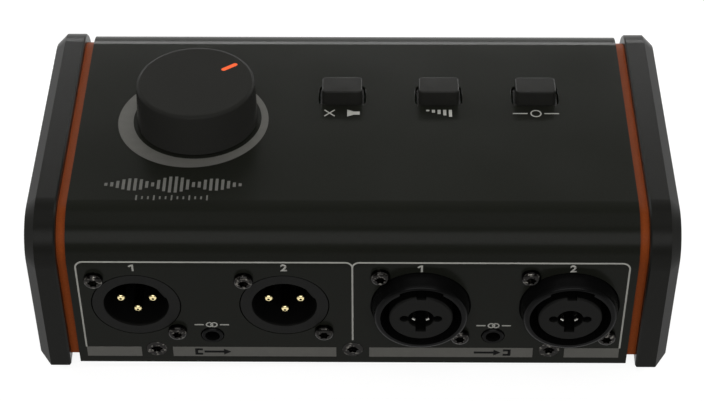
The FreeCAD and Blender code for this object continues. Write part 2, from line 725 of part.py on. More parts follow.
# ---------------------------------------------------------------- push buttons
def make_button(name, x):
    """A cap, the plunger it sits on and the latching switch under it."""
    cap = place_on_top(new_body(f"{name}_cap"), x, "button_reach")
    low = "(-sheet_metal - button_skirt)"
    pad(cap, add_outline(new_sketch(cap, "XY_Plane", lift=low), rectangle("button_width", "button_length")),
        f"button_height - {low}")
    sizes = (f"{size} + 2 * button_ledge" for size in ("button_width", "button_length"))
    ledge = add_outline(new_sketch(cap, "XY_Plane", lift=low), rectangle(*sizes))
    pad(cap, ledge, f"-{low} - button_ledge_drop")
    soften(cap, "Fillet", upright, "button_corner")
    soften(cap, "Fillet", in_plane("z", "button_height"), "button_rounding")
    socket = new_sketch(cap, "XY_Plane", lift=low)
    size = "plunger_width + 2 * fit_gap"
    pocket(cap, add_outline(socket, rectangle(size, size)), "plunger_socket", along=True)

    switch = place_on_top(new_body(f"{name}_switch"), x, "button_reach")
    foot = new_sketch(switch, "XY_Plane", lift=BOARD_TOP)
    pad(switch, add_outline(foot, rectangle("switch_width", "switch_width")), f"{SWITCH_TOP} - {BOARD_TOP}")
    well = new_sketch(switch, "XY_Plane", lift=SWITCH_TOP)
    size = "plunger_width + 2 * plunger_clearance"
    floor = f"({BOARD_TOP} + switch_floor)"
    pocket(switch, add_outline(well, rectangle(size, size)), f"{SWITCH_TOP} - {floor}")

    plunger = place_on_top(new_body(f"{name}_plunger"), x, "button_reach")
    start = f"({floor} + button_travel + button_stop)"
    foot = new_sketch(plunger, "XY_Plane", lift=start)
    add_outline(foot, rectangle("plunger_width", "plunger_width"))
    pad(plunger, foot, f"{low} + plunger_socket - {start}")


# ---------------------------------------------------------------- sockets on the rear panel
def cut_screw_pilots(body, offset_x, offset_y):
    """Two pilot holes for the socket's screws, on the diagonal."""
    pilots = new_sketch(body, "XY_Plane", lift=PANEL_INNER)
    for side in ("", "-"):
        other = "-" if side == "" else ""
        add_circle(pilots, f"{other}{offset_x}", f"{side}{offset_y}", "socket_screw_shank + 2 * fit_gap")
    pocket(body, pilots, "socket_screw_length")


def make_output(name, x):
    """Flush three-pin output socket: moulded shell and gold pins."""
    shell = place_on_rear(new_body(f"{name}_shell"), x, SOCKET_HEIGHT)
    block = add_outline(new_sketch(shell, "XY_Plane", lift="-connector_board_depth"),
                        rectangle("socket_block_width", BLOCK_HEIGHT))
    pad(shell, block, f"connector_board_depth + {PANEL_INNER}")
    soften(shell, "Fillet", upright, "socket_block_corner")
    ring = add_circle(new_sketch(shell, "XY_Plane", lift=PANEL_INNER), "0", "0", "output_ring")
    pad(shell, ring, "sheet_metal")
    cavity = add_circle(new_sketch(shell, "XY_Plane"), "0", "0", "output_cavity")
    pocket(shell, cavity, "output_cavity_depth")
    key = new_sketch(shell, "XY_Plane", lift="-output_cavity_depth", turn="30")
    width = "key_height + (output_ring - output_cavity) / 4"
    add_outline(key, rectangle(width, "key_width", f"output_cavity / 2 - key_height + ({width}) / 2"))
    pad(shell, key, "output_cavity_depth - key_setback")
    holes = new_sketch(shell, "XY_Plane", lift="-output_cavity_depth")
    for px, py in PINS:
        add_circle(holes, px, py, "pin_diameter + 2 * pin_clearance")
    pocket(shell, holes, "connector_board_depth - output_cavity_depth")
    cut_screw_pilots(shell, "output_screw_offset", "output_screw_offset")

    pins = []
    for index, (px, py) in enumerate(PINS):
        pin = new_body(f"{name}_pin_{index + 1}", node=False)
        place(pin, f"{x} - ({px})", REAR, f"foot_height + {SOCKET_HEIGHT} + ({py})", REAR_AXIS, "180")
        tip, radius = "-pin_setback", "pin_diameter / 2"
        tail = "-connector_board_depth"
        revolve(pin, [("0", tail), (radius, tail), (radius, tip), ("0", tip)])
        soften(pin, "Fillet", circle_at("z", tip, "pin_diameter"), "pin_diameter / 3")
        centre = add_circle(new_sketch(pin, "XY_Plane", lift=tip), "0", "0", "pin_centre_hole")
        pocket(pin, centre, "pin_centre_depth")
        pins.append(pin)
    group(f"{name}_pins", pins)


def make_input(name, x):
    """Input socket: shell with a proud collar, the core in it and the contact springs."""
    shell = place_on_rear(new_body(f"{name}_shell"), x, SOCKET_HEIGHT)
    block = add_outline(new_sketch(shell, "XY_Plane", lift="-connector_board_depth"),
                        rectangle("socket_block_width", BLOCK_HEIGHT))
    pad(shell, block, f"connector_board_depth + {PANEL_INNER}")
    soften(shell, "Fillet", upright, "socket_block_corner")
    collar = new_sketch(shell, "XZ_Plane")
    add_outline(collar, [("0", PANEL_INNER), ("collar_base / 2", PANEL_INNER), ("collar_base / 2", "0"),
                         ("collar_front / 2", "collar_proud"), ("0", "collar_proud")])
    turned = shell.newObject("PartDesign::Revolution", f"{name}_collar")
    turned.Profile = collar
    turned.ReferenceAxis = (collar, ["V_Axis"])
    turned.Angle = 360
    document.recompute()
    soften(shell, "Fillet", circle_at("z", "collar_proud", "collar_front"), "collar_rounding")
    cavity = add_circle(new_sketch(shell, "XY_Plane", lift="collar_proud"), "0", "0", "collar_bore")
    pocket(shell, cavity, "collar_proud + input_cavity_depth")
    notch = new_sketch(shell, "XY_Plane", lift="collar_proud")
    add_arch(notch, "collar_notch_width", "collar_bore / 2 + collar_notch_depth")
    pocket(shell, notch, "collar_proud + sheet_metal")
    tail = add_circle(new_sketch(shell, "XY_Plane", lift="-input_cavity_depth"), "0", "0", "plug_hole")
    pocket(shell, tail, "plug_hole_depth - collar_proud - input_cavity_depth")
    cut_screw_pilots(shell, "input_screw_x", "input_screw_y")

    core = place_on_rear(new_body(f"{name}_core"), x, SOCKET_HEIGHT)
    pad(core, add_circle(new_sketch(core, "XY_Plane", lift="-input_cavity_depth"), "0", "0", "core_diameter"),
        "input_cavity_depth + collar_proud")
    soften(core, "Chamfer", circle_at("z", "collar_proud", "core_diameter"), "core_edge")
    hole = add_circle(new_sketch(core, "XY_Plane", lift="collar_proud"), "0", "0", "plug_hole")
    pocket(core, hole, "collar_proud + input_cavity_depth")
    end = "(side_slot_reach - side_slot_end / 2)"
    for points in (rectangle(f"2 * {end}", "side_slot_width"),
                   rectangle("low_slot_width", "low_slot_reach", "0", "-low_slot_reach / 2"),
                   rectangle("core_notch_width", "2 * core_notch_depth", "0", "core_diameter / 2")):
        sketch = add_outline(new_sketch(core, "XY_Plane", lift="collar_proud"), points)
        pocket(core, sketch, "input_cavity_depth")
    ends = new_sketch(core, "XY_Plane", lift="collar_proud")
    for side in ("", "-"):
        add_circle(ends, f"{side}{end}", "0", "side_slot_end")
    pocket(core, ends, "input_cavity_depth")

    contacts = []
    for index, angle in enumerate(("contact_angle", "180 - contact_angle")):
        strip = rectangle("contact_thickness", "contact_width", "(plug_hole + contact_thickness) / 2")
        groove = rectangle("plug_hole / 2 + contact_thickness", "contact_width",
                           "(plug_hole / 2 + contact_thickness) / 2")
        sketch = new_sketch(core, "XY_Plane", lift="collar_proud - contact_setback", turn=angle)
        pocket(core, add_outline(sketch, groove), "contact_length")
        contact = new_body(f"{name}_contact_{index + 1}", node=False)
        place_on_rear(contact, x, SOCKET_HEIGHT)
        lift = "collar_proud - contact_setback - contact_length"
        section = add_outline(new_sketch(contact, "XY_Plane", lift=lift, turn=angle), strip)
        pad(contact, section, "contact_length")
        contacts.append(contact)
    group(f"{name}_contacts", contacts)


def make_mini(name, x):
    """3.5 mm stereo socket with a metal ring that shows in the panel."""
    body = place_on_rear(new_body(f"{name}_mini_socket"), x, MINI_HEIGHT)
    block = add_outline(new_sketch(body, "XY_Plane", lift="-connector_board_depth"),
                        rectangle("mini_block_width", "mini_block_height"))
    pad(body, block, f"connector_board_depth + {PANEL_INNER}")
    ring = add_circle(new_sketch(body, "XY_Plane", lift=PANEL_INNER), "0", "0", "mini_ring")
    pad(body, ring, "sheet_metal + mini_proud")
    soften(body, "Chamfer", circle_at("z", "mini_proud", "mini_ring"), "mini_proud / 2")
    bore = add_circle(new_sketch(body, "XY_Plane", lift="mini_proud"), "0", "0", "mini_bore")
    pocket(body, bore, "mini_depth")


# ---------------------------------------------------------------- boards and what joins them
def make_boards():
    """The control board under the top panel and the connector board behind the sockets."""
    control = place_on_top(new_body("control_board"), "0", CONTROL_START, BOARD_UNDER)
    outline = rectangle(CONTROL_WIDTH, "control_board_length", "0", "-control_board_length / 2")
    pad(control, add_outline(new_sketch(control, "XY_Plane"), outline), "board_thickness")
    holes = new_sketch(control, "XY_Plane")
    for x, reach in standoff_places():
        add_circle(holes, x, f"{CONTROL_START} - {reach}", "case_screw_shank + 2 * fit_gap")
    pocket(control, holes, "4 * board_thickness", symmetric=True)

    rear = place_on_rear(new_body("connector_board"), "0", "0")
    half, low = f"({HALF} - connector_board_margin)", "connector_board_low"
    back = "(connector_board_depth + board_thickness)"
    under = "(control_board_drop + board_thickness) / cos(top_slope)"
    high = f"corner_height - {back} * tan(top_slope) - {under} - connector_board_gap"
    sketch = new_sketch(rear, "XY_Plane", lift=f"-{back}")
    add_outline(sketch, [(f"-{half}", low), (half, low), (half, high), (f"-{half}", high)])
    pad(rear, sketch, "board_thickness")


def make_ribbon():
    """Flat ribbon cable with a header on each board."""
    upper = place_on_top(new_body("control_board_header"), "ribbon_x", HEADER_REACH, BOARD_UNDER)
    sketch = new_sketch(upper, "XY_Plane", lift="-header_height")
    pad(upper, add_outline(sketch, rectangle("header_width", "header_length")), "header_height")

    lower = place_on_rear(new_body("connector_board_header"), "ribbon_x", "ribbon_height")
    back = "connector_board_depth + board_thickness + header_height"
    sketch = new_sketch(lower, "XY_Plane", lift=f"-({back})")
    pad(lower, add_outline(sketch, rectangle("header_width", "header_length")), "header_height")

    ribbon = new_body("ribbon_cable")
    end_lift = f"({BOARD_UNDER} - header_height)"
    end_y = f"({REAR} - {HEADER_REACH} * cos(top_slope) - {end_lift} * sin(top_slope))"
    end_z = f"({CORNER} - {HEADER_REACH} * sin(top_slope) + {end_lift} * cos(top_slope))"
    start_y = f"{REAR} - ({back})"
    run_z = "(foot_height + ribbon_height)"
    points = []
    for side in ("-", "+"):
        half = f"{side} ribbon_thickness / 2"
        side_z = f"({end_z} {half} * sin(top_slope))"
        level = f"({run_z} {half})"
        bend_y = f"{end_y} {half} * cos(top_slope) + ({side_z} - {level}) * tan(top_slope)"
        end = (f"{end_y} {half} * cos(top_slope)", side_z)
        strip = [(start_y, level), (bend_y, level), end]
        points += strip if side == "-" else strip[::-1]
    sketch = add_outline(new_sketch(ribbon, "YZ_Plane", lift="ribbon_x - ribbon_width / 2"), points)
    pad(ribbon, sketch, "ribbon_width")
    soften(ribbon, "Fillet", line_through(points[4]), "ribbon_bend")
    soften(ribbon, "Fillet", line_through(points[1]), "ribbon_bend + ribbon_thickness")


# ---------------------------------------------------------------- groups of identical pieces
def group(label, members):
    """One node that holds several separate solids."""
    compound = document.addObject("Part::Compound", label)
    compound.Label = label
    compound.Links = members
    NODES.append(compound)
    return compound


def copies(label, master, places):
    """A group of linked copies of one body; each place is a function that places a copy."""
    links = []
    for index, set_place in enumerate(places, start=1):
        link = document.addObject("App::Link", f"{label}_{index}")
        link.LinkedObject = master
        link.LinkTransform = False
        set_place(link)
        links.append(link)
    return group(label, links)


RECESS_TIP, RECESS_WAIST = 0.3, 0.2  # reach of a screw's six-lobed recess, as shares of its head


def make_screw(label, head, cap, shank, length, countersunk=False):
    """A screw with a six-lobed recess; the panel's face is at z = 0 and the shank points down."""
    body = new_body(label, node=False)
    drop = f"(({head}) - ({shank})) / 2"
    half_head, half_shank = f"({head}) / 2", f"({shank}) / 2"
    top = "0" if countersunk else cap
    if countersunk:
        outline = [("0", "0"), (half_head, "0"), (half_shank, f"-{drop}")]
    else:
        outline = [("0", top), (half_head, top), (half_head, "0"), (half_shank, "0")]
    revolve(body, outline + [(half_shank, f"-({length})"), ("0", f"-({length})")])
    if not countersunk:
        soften(body, "Fillet", circle_at("z", top, head), f"({cap}) / 2")
    star = []
    for i in range(12):
        radius = f"({head}) * {RECESS_TIP if i % 2 == 0 else RECESS_WAIST}"
        star.append((f"{radius} * cos({30 * i})", f"{radius} * sin({30 * i})"))
    pocket(body, add_outline(new_sketch(body, "XY_Plane", lift=top), star), "recess_depth")
    return body


def make_fasteners():
    """All screws, standoffs and feet, each kind in one group."""
    case = make_screw("case_screw_master", "case_screw_head", "0",
                      "case_screw_shank", "case_screw_length", countersunk=True)
    places = [lambda link, x=x: place_on_rear(link, x, "case_screw_height") for x in case_screw_columns()]
    places += [lambda link, x=x, y=y: place(link, x, y, "foot_height", TOP_AXIS, "180")
               for x, y in lip_screw_places()]
    copies("case_screws", case, places)

    socket = make_screw("socket_screw_master", "socket_screw_head", "socket_screw_cap",
                        "socket_screw_shank", "socket_screw_length")
    places = []
    for name, x in SOCKETS.items():
        kind = ("output_screw_offset", "output_screw_offset")
        if name.startswith("input"):
            kind = ("input_screw_x", "input_screw_y")
        for side in ("+", "-"):
            places.append(lambda link, x=x, side=side, kind=kind:
                          place_on_rear(link, f"{x} {side} {kind[0]}", f"{SOCKET_HEIGHT} {side} {kind[1]}"))
    copies("socket_screws", socket, places)

    cheek = make_screw("cheek_screw_master", "cheek_screw_head", "cheek_screw_cap",
                       "case_screw_shank", "cheek_screw_length")
    inner = f"({HALF} - sheet_metal)"
    places = []
    for x, turn in ((inner, "-90"), (f"-{inner}", "90")):
        places += [lambda link, x=x, y=y, z=z, turn=turn: place(link, x, y, z, Vector(0, 1, 0), turn)
                   for y, z in cheek_screw_places()]
    copies("cheek_screws", cheek, places)

    board = make_screw("board_screw_master", "cheek_screw_head", "cheek_screw_cap",
                       "case_screw_shank", "board_screw_length")
    copies("board_screws", board,
           [lambda link, x=x, reach=reach: place_on_top(link, x, reach, BOARD_UNDER, flip=True)
            for x, reach in standoff_places()])

    standoff = new_body("standoff_master", node=False)
    bore = "case_screw_shank / 2 + fit_gap"
    bore_top = f"{BOARD_TOP} + board_screw_length"
    radius = "standoff_diameter / 2"
    revolve(standoff, [("0", PANEL_INNER), (radius, PANEL_INNER), (radius, BOARD_TOP), (bore, BOARD_TOP),
                       (bore, bore_top), ("0", bore_top)])
    copies("board_standoffs", standoff,
           [lambda link, x=x, reach=reach: place_on_top(link, x, reach) for x, reach in standoff_places()])

    foot = new_body("foot_master", node=False)
    radius = "foot_diameter / 2"
    revolve(foot, [("0", "0"), (f"{radius} - foot_height / 4", "0"), (radius, "foot_height / 4"),
                   (radius, "foot_height"), ("0", "foot_height")])
    corners = [(f"{sign}({HALF} - foot_inset)", y) for sign in ("", "-")
               for y in (f"{REAR} - foot_inset", f"{FRONT} + foot_inset + cover_lip / 2")]
    copies("rubber_feet", foot, [lambda link, x=x, y=y: place(link, x, y) for x, y in corners])


# ---------------------------------------------------------------- the whole controller
def build():
    """Make every piece, check it and write it."""
    make_cover()
    make_tray()
    make_side("right", 1)
    make_side("left", -1)
    make_knob()
    make_potentiometer()
    for name, x in button_places():
        make_button(name, x)
    for name, x in SOCKETS.items():
        (make_output if name.startswith("output") else make_input)(name, x)
    make_mini("output", MINI_X)
    make_mini("input", f"-{MINI_X}")
    make_boards()
    make_ribbon()
    make_fasteners()
    document.recompute()
    for item in document.Objects:
        if any(word in item.State for word in ("Invalid", "Error")):
            raise RuntimeError(f"{item.Label} failed: {item.State}")
    os.makedirs("parts", exist_ok=True)
    for node in NODES:
        if node.Shape.isNull() or not node.Shape.isValid():
            raise RuntimeError(f"{node.Label} has no valid shape")
    for node in NODES:
        node.Shape.exportStep(f"parts/{node.Label}.step")
        print(f"{node.Label}: {len(node.Shape.Solids)} solids, {node.Shape.Volume:.1f} mm3")
    print(f"{len(NODES)} nodes")


build()
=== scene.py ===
"""Studio monitor controller: the finishes of its solids, the print on its housing, and a stage to show it.

Lengths are in metres, in the frame of the solids: +Z up, the sockets face +Y, the user sits at -Y. Artwork is
laid out flat in millimetres and then put on the panel that carries it.
"""
import math

import bmesh
import bpy
from bpy.props import FloatProperty, FloatVectorProperty, PointerProperty
from mathutils import Matrix, Vector


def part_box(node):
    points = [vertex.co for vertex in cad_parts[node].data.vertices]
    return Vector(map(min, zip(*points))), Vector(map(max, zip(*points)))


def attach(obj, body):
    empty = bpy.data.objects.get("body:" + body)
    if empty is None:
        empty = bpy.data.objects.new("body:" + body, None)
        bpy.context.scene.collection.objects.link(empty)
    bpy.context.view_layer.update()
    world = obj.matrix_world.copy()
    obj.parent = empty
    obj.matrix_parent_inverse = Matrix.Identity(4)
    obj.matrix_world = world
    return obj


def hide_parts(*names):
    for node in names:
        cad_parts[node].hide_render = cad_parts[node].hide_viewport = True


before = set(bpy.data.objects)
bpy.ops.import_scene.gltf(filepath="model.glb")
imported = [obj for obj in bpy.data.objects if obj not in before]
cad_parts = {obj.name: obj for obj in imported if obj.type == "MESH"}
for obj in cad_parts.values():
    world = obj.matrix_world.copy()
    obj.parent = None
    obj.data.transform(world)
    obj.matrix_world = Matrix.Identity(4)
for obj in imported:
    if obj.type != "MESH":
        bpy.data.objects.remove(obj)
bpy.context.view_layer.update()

bl_info = {
    "name": "Studio Monitor Controller",
    "version": (1, 0, 0),
    "blender": (4, 5, 0),
    "location": "View3D > Sidebar > Controller",
    "description": "Finishes, prints and lights a desktop studio monitor controller",
    "category": "Object",
}

MM = 0.001
WELD = 0.001    # points nearer than this, in millimetres, are one point

# ---------------------------------------------------------------- places on the housing, in millimetres
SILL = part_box("housing_cover")[0].z / MM
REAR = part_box("housing_cover")[1].y / MM
SLOPE = math.radians(7.0)
# The planes of rear and top meet at the corner's height over the sill, and a bend of this radius joins them.
CORNER = 49.0
BEND = 11.0
BEND_FROM = CORNER - BEND / math.tan(math.radians(45.0) - SLOPE / 2)
# Reaches run down the top from the corner; the knob's top is its height over the panel.
KNOB_X, KNOB_REACH, KNOB_TOP = 40.0, 45.0, 12.0
BUTTON_SIGNS = {"mute": 3.0, "dim": -22.0, "mono": -46.9}
BUTTON_SIGN_REACH = 47.65
# Columns run from the reader's left to right on the rear panel, and heights up from its sill.
SOCKET_COLUMNS = (-54.1, -16.8, 16.8, 54.1)
MINI_COLUMN = 35.5
FIGURE_HEIGHT, MINI_SIGN_HEIGHT = 36.3, 14.8
FRAME_HALF_WIDTH, FRAME_TOP = 68.1, 38.5
BAND_FOOT, BAND_TOP = 2.3, 6.0
BAND_HEIGHT = (BAND_FOOT + BAND_TOP) / 2
RISE, RUN = math.sin(SLOPE), math.cos(SLOPE)

# Artwork x, y, height become places on the top panel: x across, y up the slope from where the planes meet.
TOP_PANEL = Matrix(((1, 0, 0, 0), (0, RUN, -RISE, REAR), (0, RISE, RUN, SILL + CORNER), (0, 0, 0, 1)))
# On the rear panel x runs from its reader's left to right and y up from its lower edge.
REAR_PANEL = Matrix(((-1, 0, 0, 0), (0, 0, 1, REAR), (0, 1, 0, SILL), (0, 0, 0, 1)))
KNOB_FACE = TOP_PANEL @ Matrix.Translation((KNOB_X, -KNOB_REACH, KNOB_TOP))


def linear(code):
    """Linear colour of an sRGB hex value."""
    parts = [int(code[i:i + 2], 16) / 255 for i in (1, 3, 5)]
    return tuple(p / 12.92 if p <= 0.04045 else ((p + 0.055) / 1.055) ** 2.4 for p in parts)


# ---------------------------------------------------------------- what a user may change
class ControllerPrint(bpy.types.PropertyGroup):
    """Sizes of the screen print."""
    line: FloatProperty(name="Frame line", description="Width of the line round the sockets",
                        default=0.42 * MM, min=0.2 * MM, unit="LENGTH")
    ink: FloatProperty(name="Ink thickness", description="How far the ink stands on the coat",
                       default=0.03 * MM, min=0.01 * MM, unit="LENGTH")
    stroke: FloatProperty(name="Sign stroke", description="Width of the strokes of the button signs",
                          default=0.33 * MM, min=0.2 * MM, unit="LENGTH")
    ring_radius: FloatProperty(name="Scale ring", description="Outer radius of the ring round the knob",
                               default=19.25 * MM, min=18 * MM, unit="LENGTH")
    figure: FloatProperty(name="Figures", description="Height of the channel figures",
                          default=2.35 * MM, min=1 * MM, unit="LENGTH")


def colour_choice(name, description, code):
    """A colour that a user may change."""
    return FloatVectorProperty(name=name, description=description, subtype="COLOR", default=linear(code),
                               min=0, max=1)


class ControllerColours(bpy.types.PropertyGroup):
    """Colours of the coats, mouldings and inks."""
    housing: colour_choice("Housing", "Powder coat of the housing", "#191a16")
    cheeks: colour_choice("Cheeks", "Powder coat of the side cheeks", "#191917")
    accents: colour_choice("Accents", "Powder coat of the inlaid plates", "#7e3b18")
    knob: colour_choice("Knob", "Dye of the volume knob", "#262624")
    pointer: colour_choice("Pointer", "Inlay that shows the volume", "#ec5a1e")
    caps: colour_choice("Caps", "Plastic of the push buttons", "#222220")
    pale_ink: colour_choice("Pale ink", "Lines and signs", "#a5a49e")
    grey_ink: colour_choice("Grey ink", "Bands and level mark", "#62615d")
    ring_ink: colour_choice("Ring ink", "Scale ring", "#575652")
    black_ink: colour_choice("Black ink", "Signs on the bands", "#050505")


# ---------------------------------------------------------------- material nodes
# Most of a noise lies between these two levels.
PATTERN_LOW, PATTERN_HIGH = 0.3, 0.7
# A wave texture of scale one has its bands this far apart.
WAVE_PITCH = 0.314


def add(tree, kind, links=(), **values):
    """Adds a shader node; values set its settings or, by name, its sockets, and links feed sockets."""
    node = tree.nodes.new("ShaderNode" + kind)
    for key, value in values.items():
        if hasattr(node, key):
            setattr(node, key, value)
        else:
            node.inputs[key.replace("_", " ")].default_value = value
    for key, source in dict(links).items():
        tree.links.new(source, node.inputs[key])
    return node


def surface(name, colour, **values):
    """A material by its finish's name, with its tree, its shader and the object's own coordinates."""
    made = bpy.data.materials.get(name) or bpy.data.materials.new(name)
    made.use_nodes = True
    tree = made.node_tree
    tree.nodes.clear()
    values["Base_Color"] = (*colour, 1)
    shader = add(tree, "BsdfPrincipled", **values)
    add(tree, "OutputMaterial", {"Surface": shader.outputs["BSDF"]})
    return made, tree, shader, add(tree, "TexCoord").outputs["Object"]


def tint(tree, shader, pattern, colour, spread):
    """Lets a pattern around one half lighten and darken the surface's colour by a share of it."""
    ramp = add(tree, "ValToRGB", {"Fac": pattern})
    dark, light = ramp.color_ramp.elements
    dark.position, light.position = PATTERN_LOW, PATTERN_HIGH
    dark.color = (*(c * (1 - spread) for c in colour), 1)
    light.color = (*(min(1, c * (1 + spread)) for c in colour), 1)
    tree.links.new(ramp.outputs["Color"], shader.inputs["Base Color"])


def gloss(tree, shader, pattern, low, high):
    """Lets a pattern around one half move the roughness between two values."""
    level = add(tree, "MapRange", {"Value": pattern}, From_Min=PATTERN_LOW, From_Max=PATTERN_HIGH,
                To_Min=low, To_Max=high)
    tree.links.new(level.outputs["Result"], shader.inputs["Roughness"])


def relief(tree, shader, pattern, depth, strength=0.4):
    """Raises a pattern by this depth in metres."""
    bump = add(tree, "Bump", {"Height": pattern}, Strength=strength, Distance=depth)
    tree.links.new(bump.outputs["Normal"], shader.inputs["Normal"])


def powder_coat(name, colour, grain, rough, **values):
    """Sprayed powder, baked: a pebbly orange-peel skin with a fine speckle and cloudy gloss."""
    made, tree, shader, place = surface(name, colour, **values)
    pebble, patch, depth = 2.2 * grain, 24, 0.02
    speckle = add(tree, "TexNoise", {"Vector": place}, Scale=1 / (grain * MM), Detail=3.0, Roughness=0.6)
    pebbles = add(tree, "TexVoronoi", {"Vector": place}, feature="SMOOTH_F1", Scale=1 / (pebble * MM),
                  Smoothness=0.6)
    skin = add(tree, "Mix", {2: speckle.outputs["Fac"], 3: pebbles.outputs["Distance"]}, Factor=0.45)
    cloud = add(tree, "TexNoise", {"Vector": place}, Scale=1 / (patch * MM), Detail=2.0, Roughness=0.5)
    tint(tree, shader, speckle.outputs["Fac"], colour, 0.16)
    gloss(tree, shader, cloud.outputs["Fac"], *rough)
    relief(tree, shader, skin.outputs["Result"], depth * MM)
    return made


def turned_anodised(name, colour, rough, **values):
    """Turned aluminium, bead-dulled and dyed: the lathe's rings just show as a silky sheen round the axis."""
    made, tree, shader, place = surface(name, colour, **values)
    # The rings' real pitch of 0.05 mm would not show, so they are drawn coarser.
    pitch, bead, patch, depth = 0.5, 0.25, 9, 0.004
    turn = KNOB_FACE.inverted().to_euler()
    shift = -(KNOB_FACE.to_3x3().inverted() @ KNOB_FACE.translation) * MM
    centred = add(tree, "Mapping", {"Vector": place}, Location=shift, Rotation=turn)
    rings = add(tree, "TexWave", {"Vector": centred.outputs["Vector"]}, wave_type="RINGS",
                rings_direction="Z", Scale=WAVE_PITCH / (pitch * MM), Distortion=0.6, Detail=2.0)
    grain = add(tree, "TexNoise", {"Vector": place}, Scale=1 / (bead * MM), Detail=2.0)
    dye = add(tree, "TexNoise", {"Vector": place}, Scale=1 / (patch * MM), Detail=3.0)
    marks = add(tree, "Mix", {2: grain.outputs["Fac"], 3: rings.outputs["Fac"]}, Factor=0.35)
    tint(tree, shader, grain.outputs["Fac"], colour, 0.1)
    gloss(tree, shader, dye.outputs["Fac"], *rough)
    relief(tree, shader, marks.outputs["Result"], depth * MM)
    return made


def paint_shade_behind(tree, shader, place, mouth, reach, deepest, dull=0.9):
    """Paints shade behind a mouth: darkens and dulls the surface over a reach, in millimetres along the
    sockets' axis.
    """
    depth = add(tree, "SeparateXYZ", {"Vector": place}).outputs["Y"]
    left = add(tree, "MapRange", {"Value": depth}, From_Min=(mouth - reach) * MM, From_Max=mouth * MM,
               To_Min=deepest)
    # Painted shade: the colour is scaled down towards the deepest share behind the mouth.
    colour = shader.inputs["Base Color"].links[0].from_socket
    shade_painted_colour = add(tree, "VectorMath", {0: colour, "Scale": left.outputs["Result"]}, operation="SCALE")
    tree.links.new(shade_painted_colour.outputs["Vector"], shader.inputs["Base Color"])
    sheen = shader.inputs["Roughness"].links[0].from_socket
    dulled = add(tree, "Mix", {0: left.outputs["Result"], 3: sheen})
    dulled.inputs[2].default_value = dull
    tree.links.new(dulled.outputs["Result"], shader.inputs["Roughness"])


def moulded(name, colour, texture, rough, painted_shade=None, **values):
    """Injection moulded plastic: the mould's spark-eroded texture under faint flow clouds."""
    made, tree, shader, place = surface(name, colour, **values)
    stream, stretch, depth = 5, 0.35, 0.012
    skin = add(tree, "TexNoise", {"Vector": place}, Scale=1 / (texture * MM), Detail=4.0, Roughness=0.65)
    along = add(tree, "Mapping", {"Vector": place}, Scale=(1.0, 1.0, stretch))
    flow = add(tree, "TexNoise", {"Vector": along.outputs["Vector"]}, Scale=1 / (stream * MM), Detail=3.0,
               Distortion=0.8)
    tint(tree, shader, flow.outputs["Fac"], colour, 0.1)
    gloss(tree, shader, flow.outputs["Fac"], *rough)
    relief(tree, shader, skin.outputs["Fac"], depth * MM)
    # Painted shade, where one is given, darkens the moulding behind the mouth of its hollow.
    if painted_shade:
        paint_shade_behind(tree, shader, place, *painted_shade)
    return made


def plated(name, colour, rough, haze=0.05, painted_shade=None, **values):
    """Plated metal: mirror-like under a thin haze, with fine rubbed lines and a cloudy tint from the bath."""
    made, tree, shader, place = surface(name, colour, Metallic=1.0, **values)
    scratch, stretch, patch, depth = 0.12, 0.08, 1.6, 0.002
    drawn = add(tree, "Mapping", {"Vector": place}, Scale=(1.0, stretch, 1.0))
    rubbed = add(tree, "TexNoise", {"Vector": drawn.outputs["Vector"]}, Scale=1 / (scratch * MM), Detail=2.0)
    bath = add(tree, "TexNoise", {"Vector": place}, Scale=1 / (patch * MM), Detail=4.0, Roughness=0.55)
    tint(tree, shader, bath.outputs["Fac"], colour, haze)
    gloss(tree, shader, bath.outputs["Fac"], *rough)
    relief(tree, shader, rubbed.outputs["Fac"], depth * MM)
    # Painted shade, where one is given, darkens the metal behind the tips.
    if painted_shade:
        paint_shade_behind(tree, shader, place, *painted_shade)
    return made


def black_oxide(name):
    """Blackened steel: a dark oily skin that the driver and handling have rubbed grey in small spots."""
    dark, bare = linear("#222120"), linear("#7a7771")
    spot, depth = 0.9, 0.006
    made, tree, shader, place = surface(name, dark, Metallic=1.0)
    skin = add(tree, "TexNoise", {"Vector": place}, Scale=1 / (spot * MM), Detail=3.0, Roughness=0.5)
    worn = add(tree, "ValToRGB", {"Fac": skin.outputs["Fac"]})
    for stop, position, colour in zip(worn.color_ramp.elements, (0.54, 0.74), (dark, bare)):
        stop.position = position
        stop.color = (*colour, 1)
    tree.links.new(worn.outputs["Color"], shader.inputs["Base Color"])
    gloss(tree, shader, skin.outputs["Fac"], 0.18, 0.1)
    relief(tree, shader, skin.outputs["Fac"], depth * MM)
    return made


def screen_ink(name, colour):
    """Screen-printed ink: flat and matt, with the mesh's pinholes and a slightly uneven cover."""
    made, tree, shader, place = surface(name, colour, Specular_IOR_Level=0.06)
    thread, patch, depth = 0.35, 2.5, 0.004
    mesh = add(tree, "TexVoronoi", {"Vector": place}, Scale=1 / (thread * MM), Randomness=0.35)
    cover = add(tree, "TexNoise", {"Vector": place}, Scale=1 / (patch * MM), Detail=3.0)
    both = add(tree, "Mix", {2: mesh.outputs["Distance"], 3: cover.outputs["Fac"]}, Factor=0.6)
    tint(tree, shader, both.outputs["Result"], colour, 0.08)
    gloss(tree, shader, cover.outputs["Fac"], 0.55, 0.7)
    relief(tree, shader, mesh.outputs["Distance"], depth * MM)
    return made


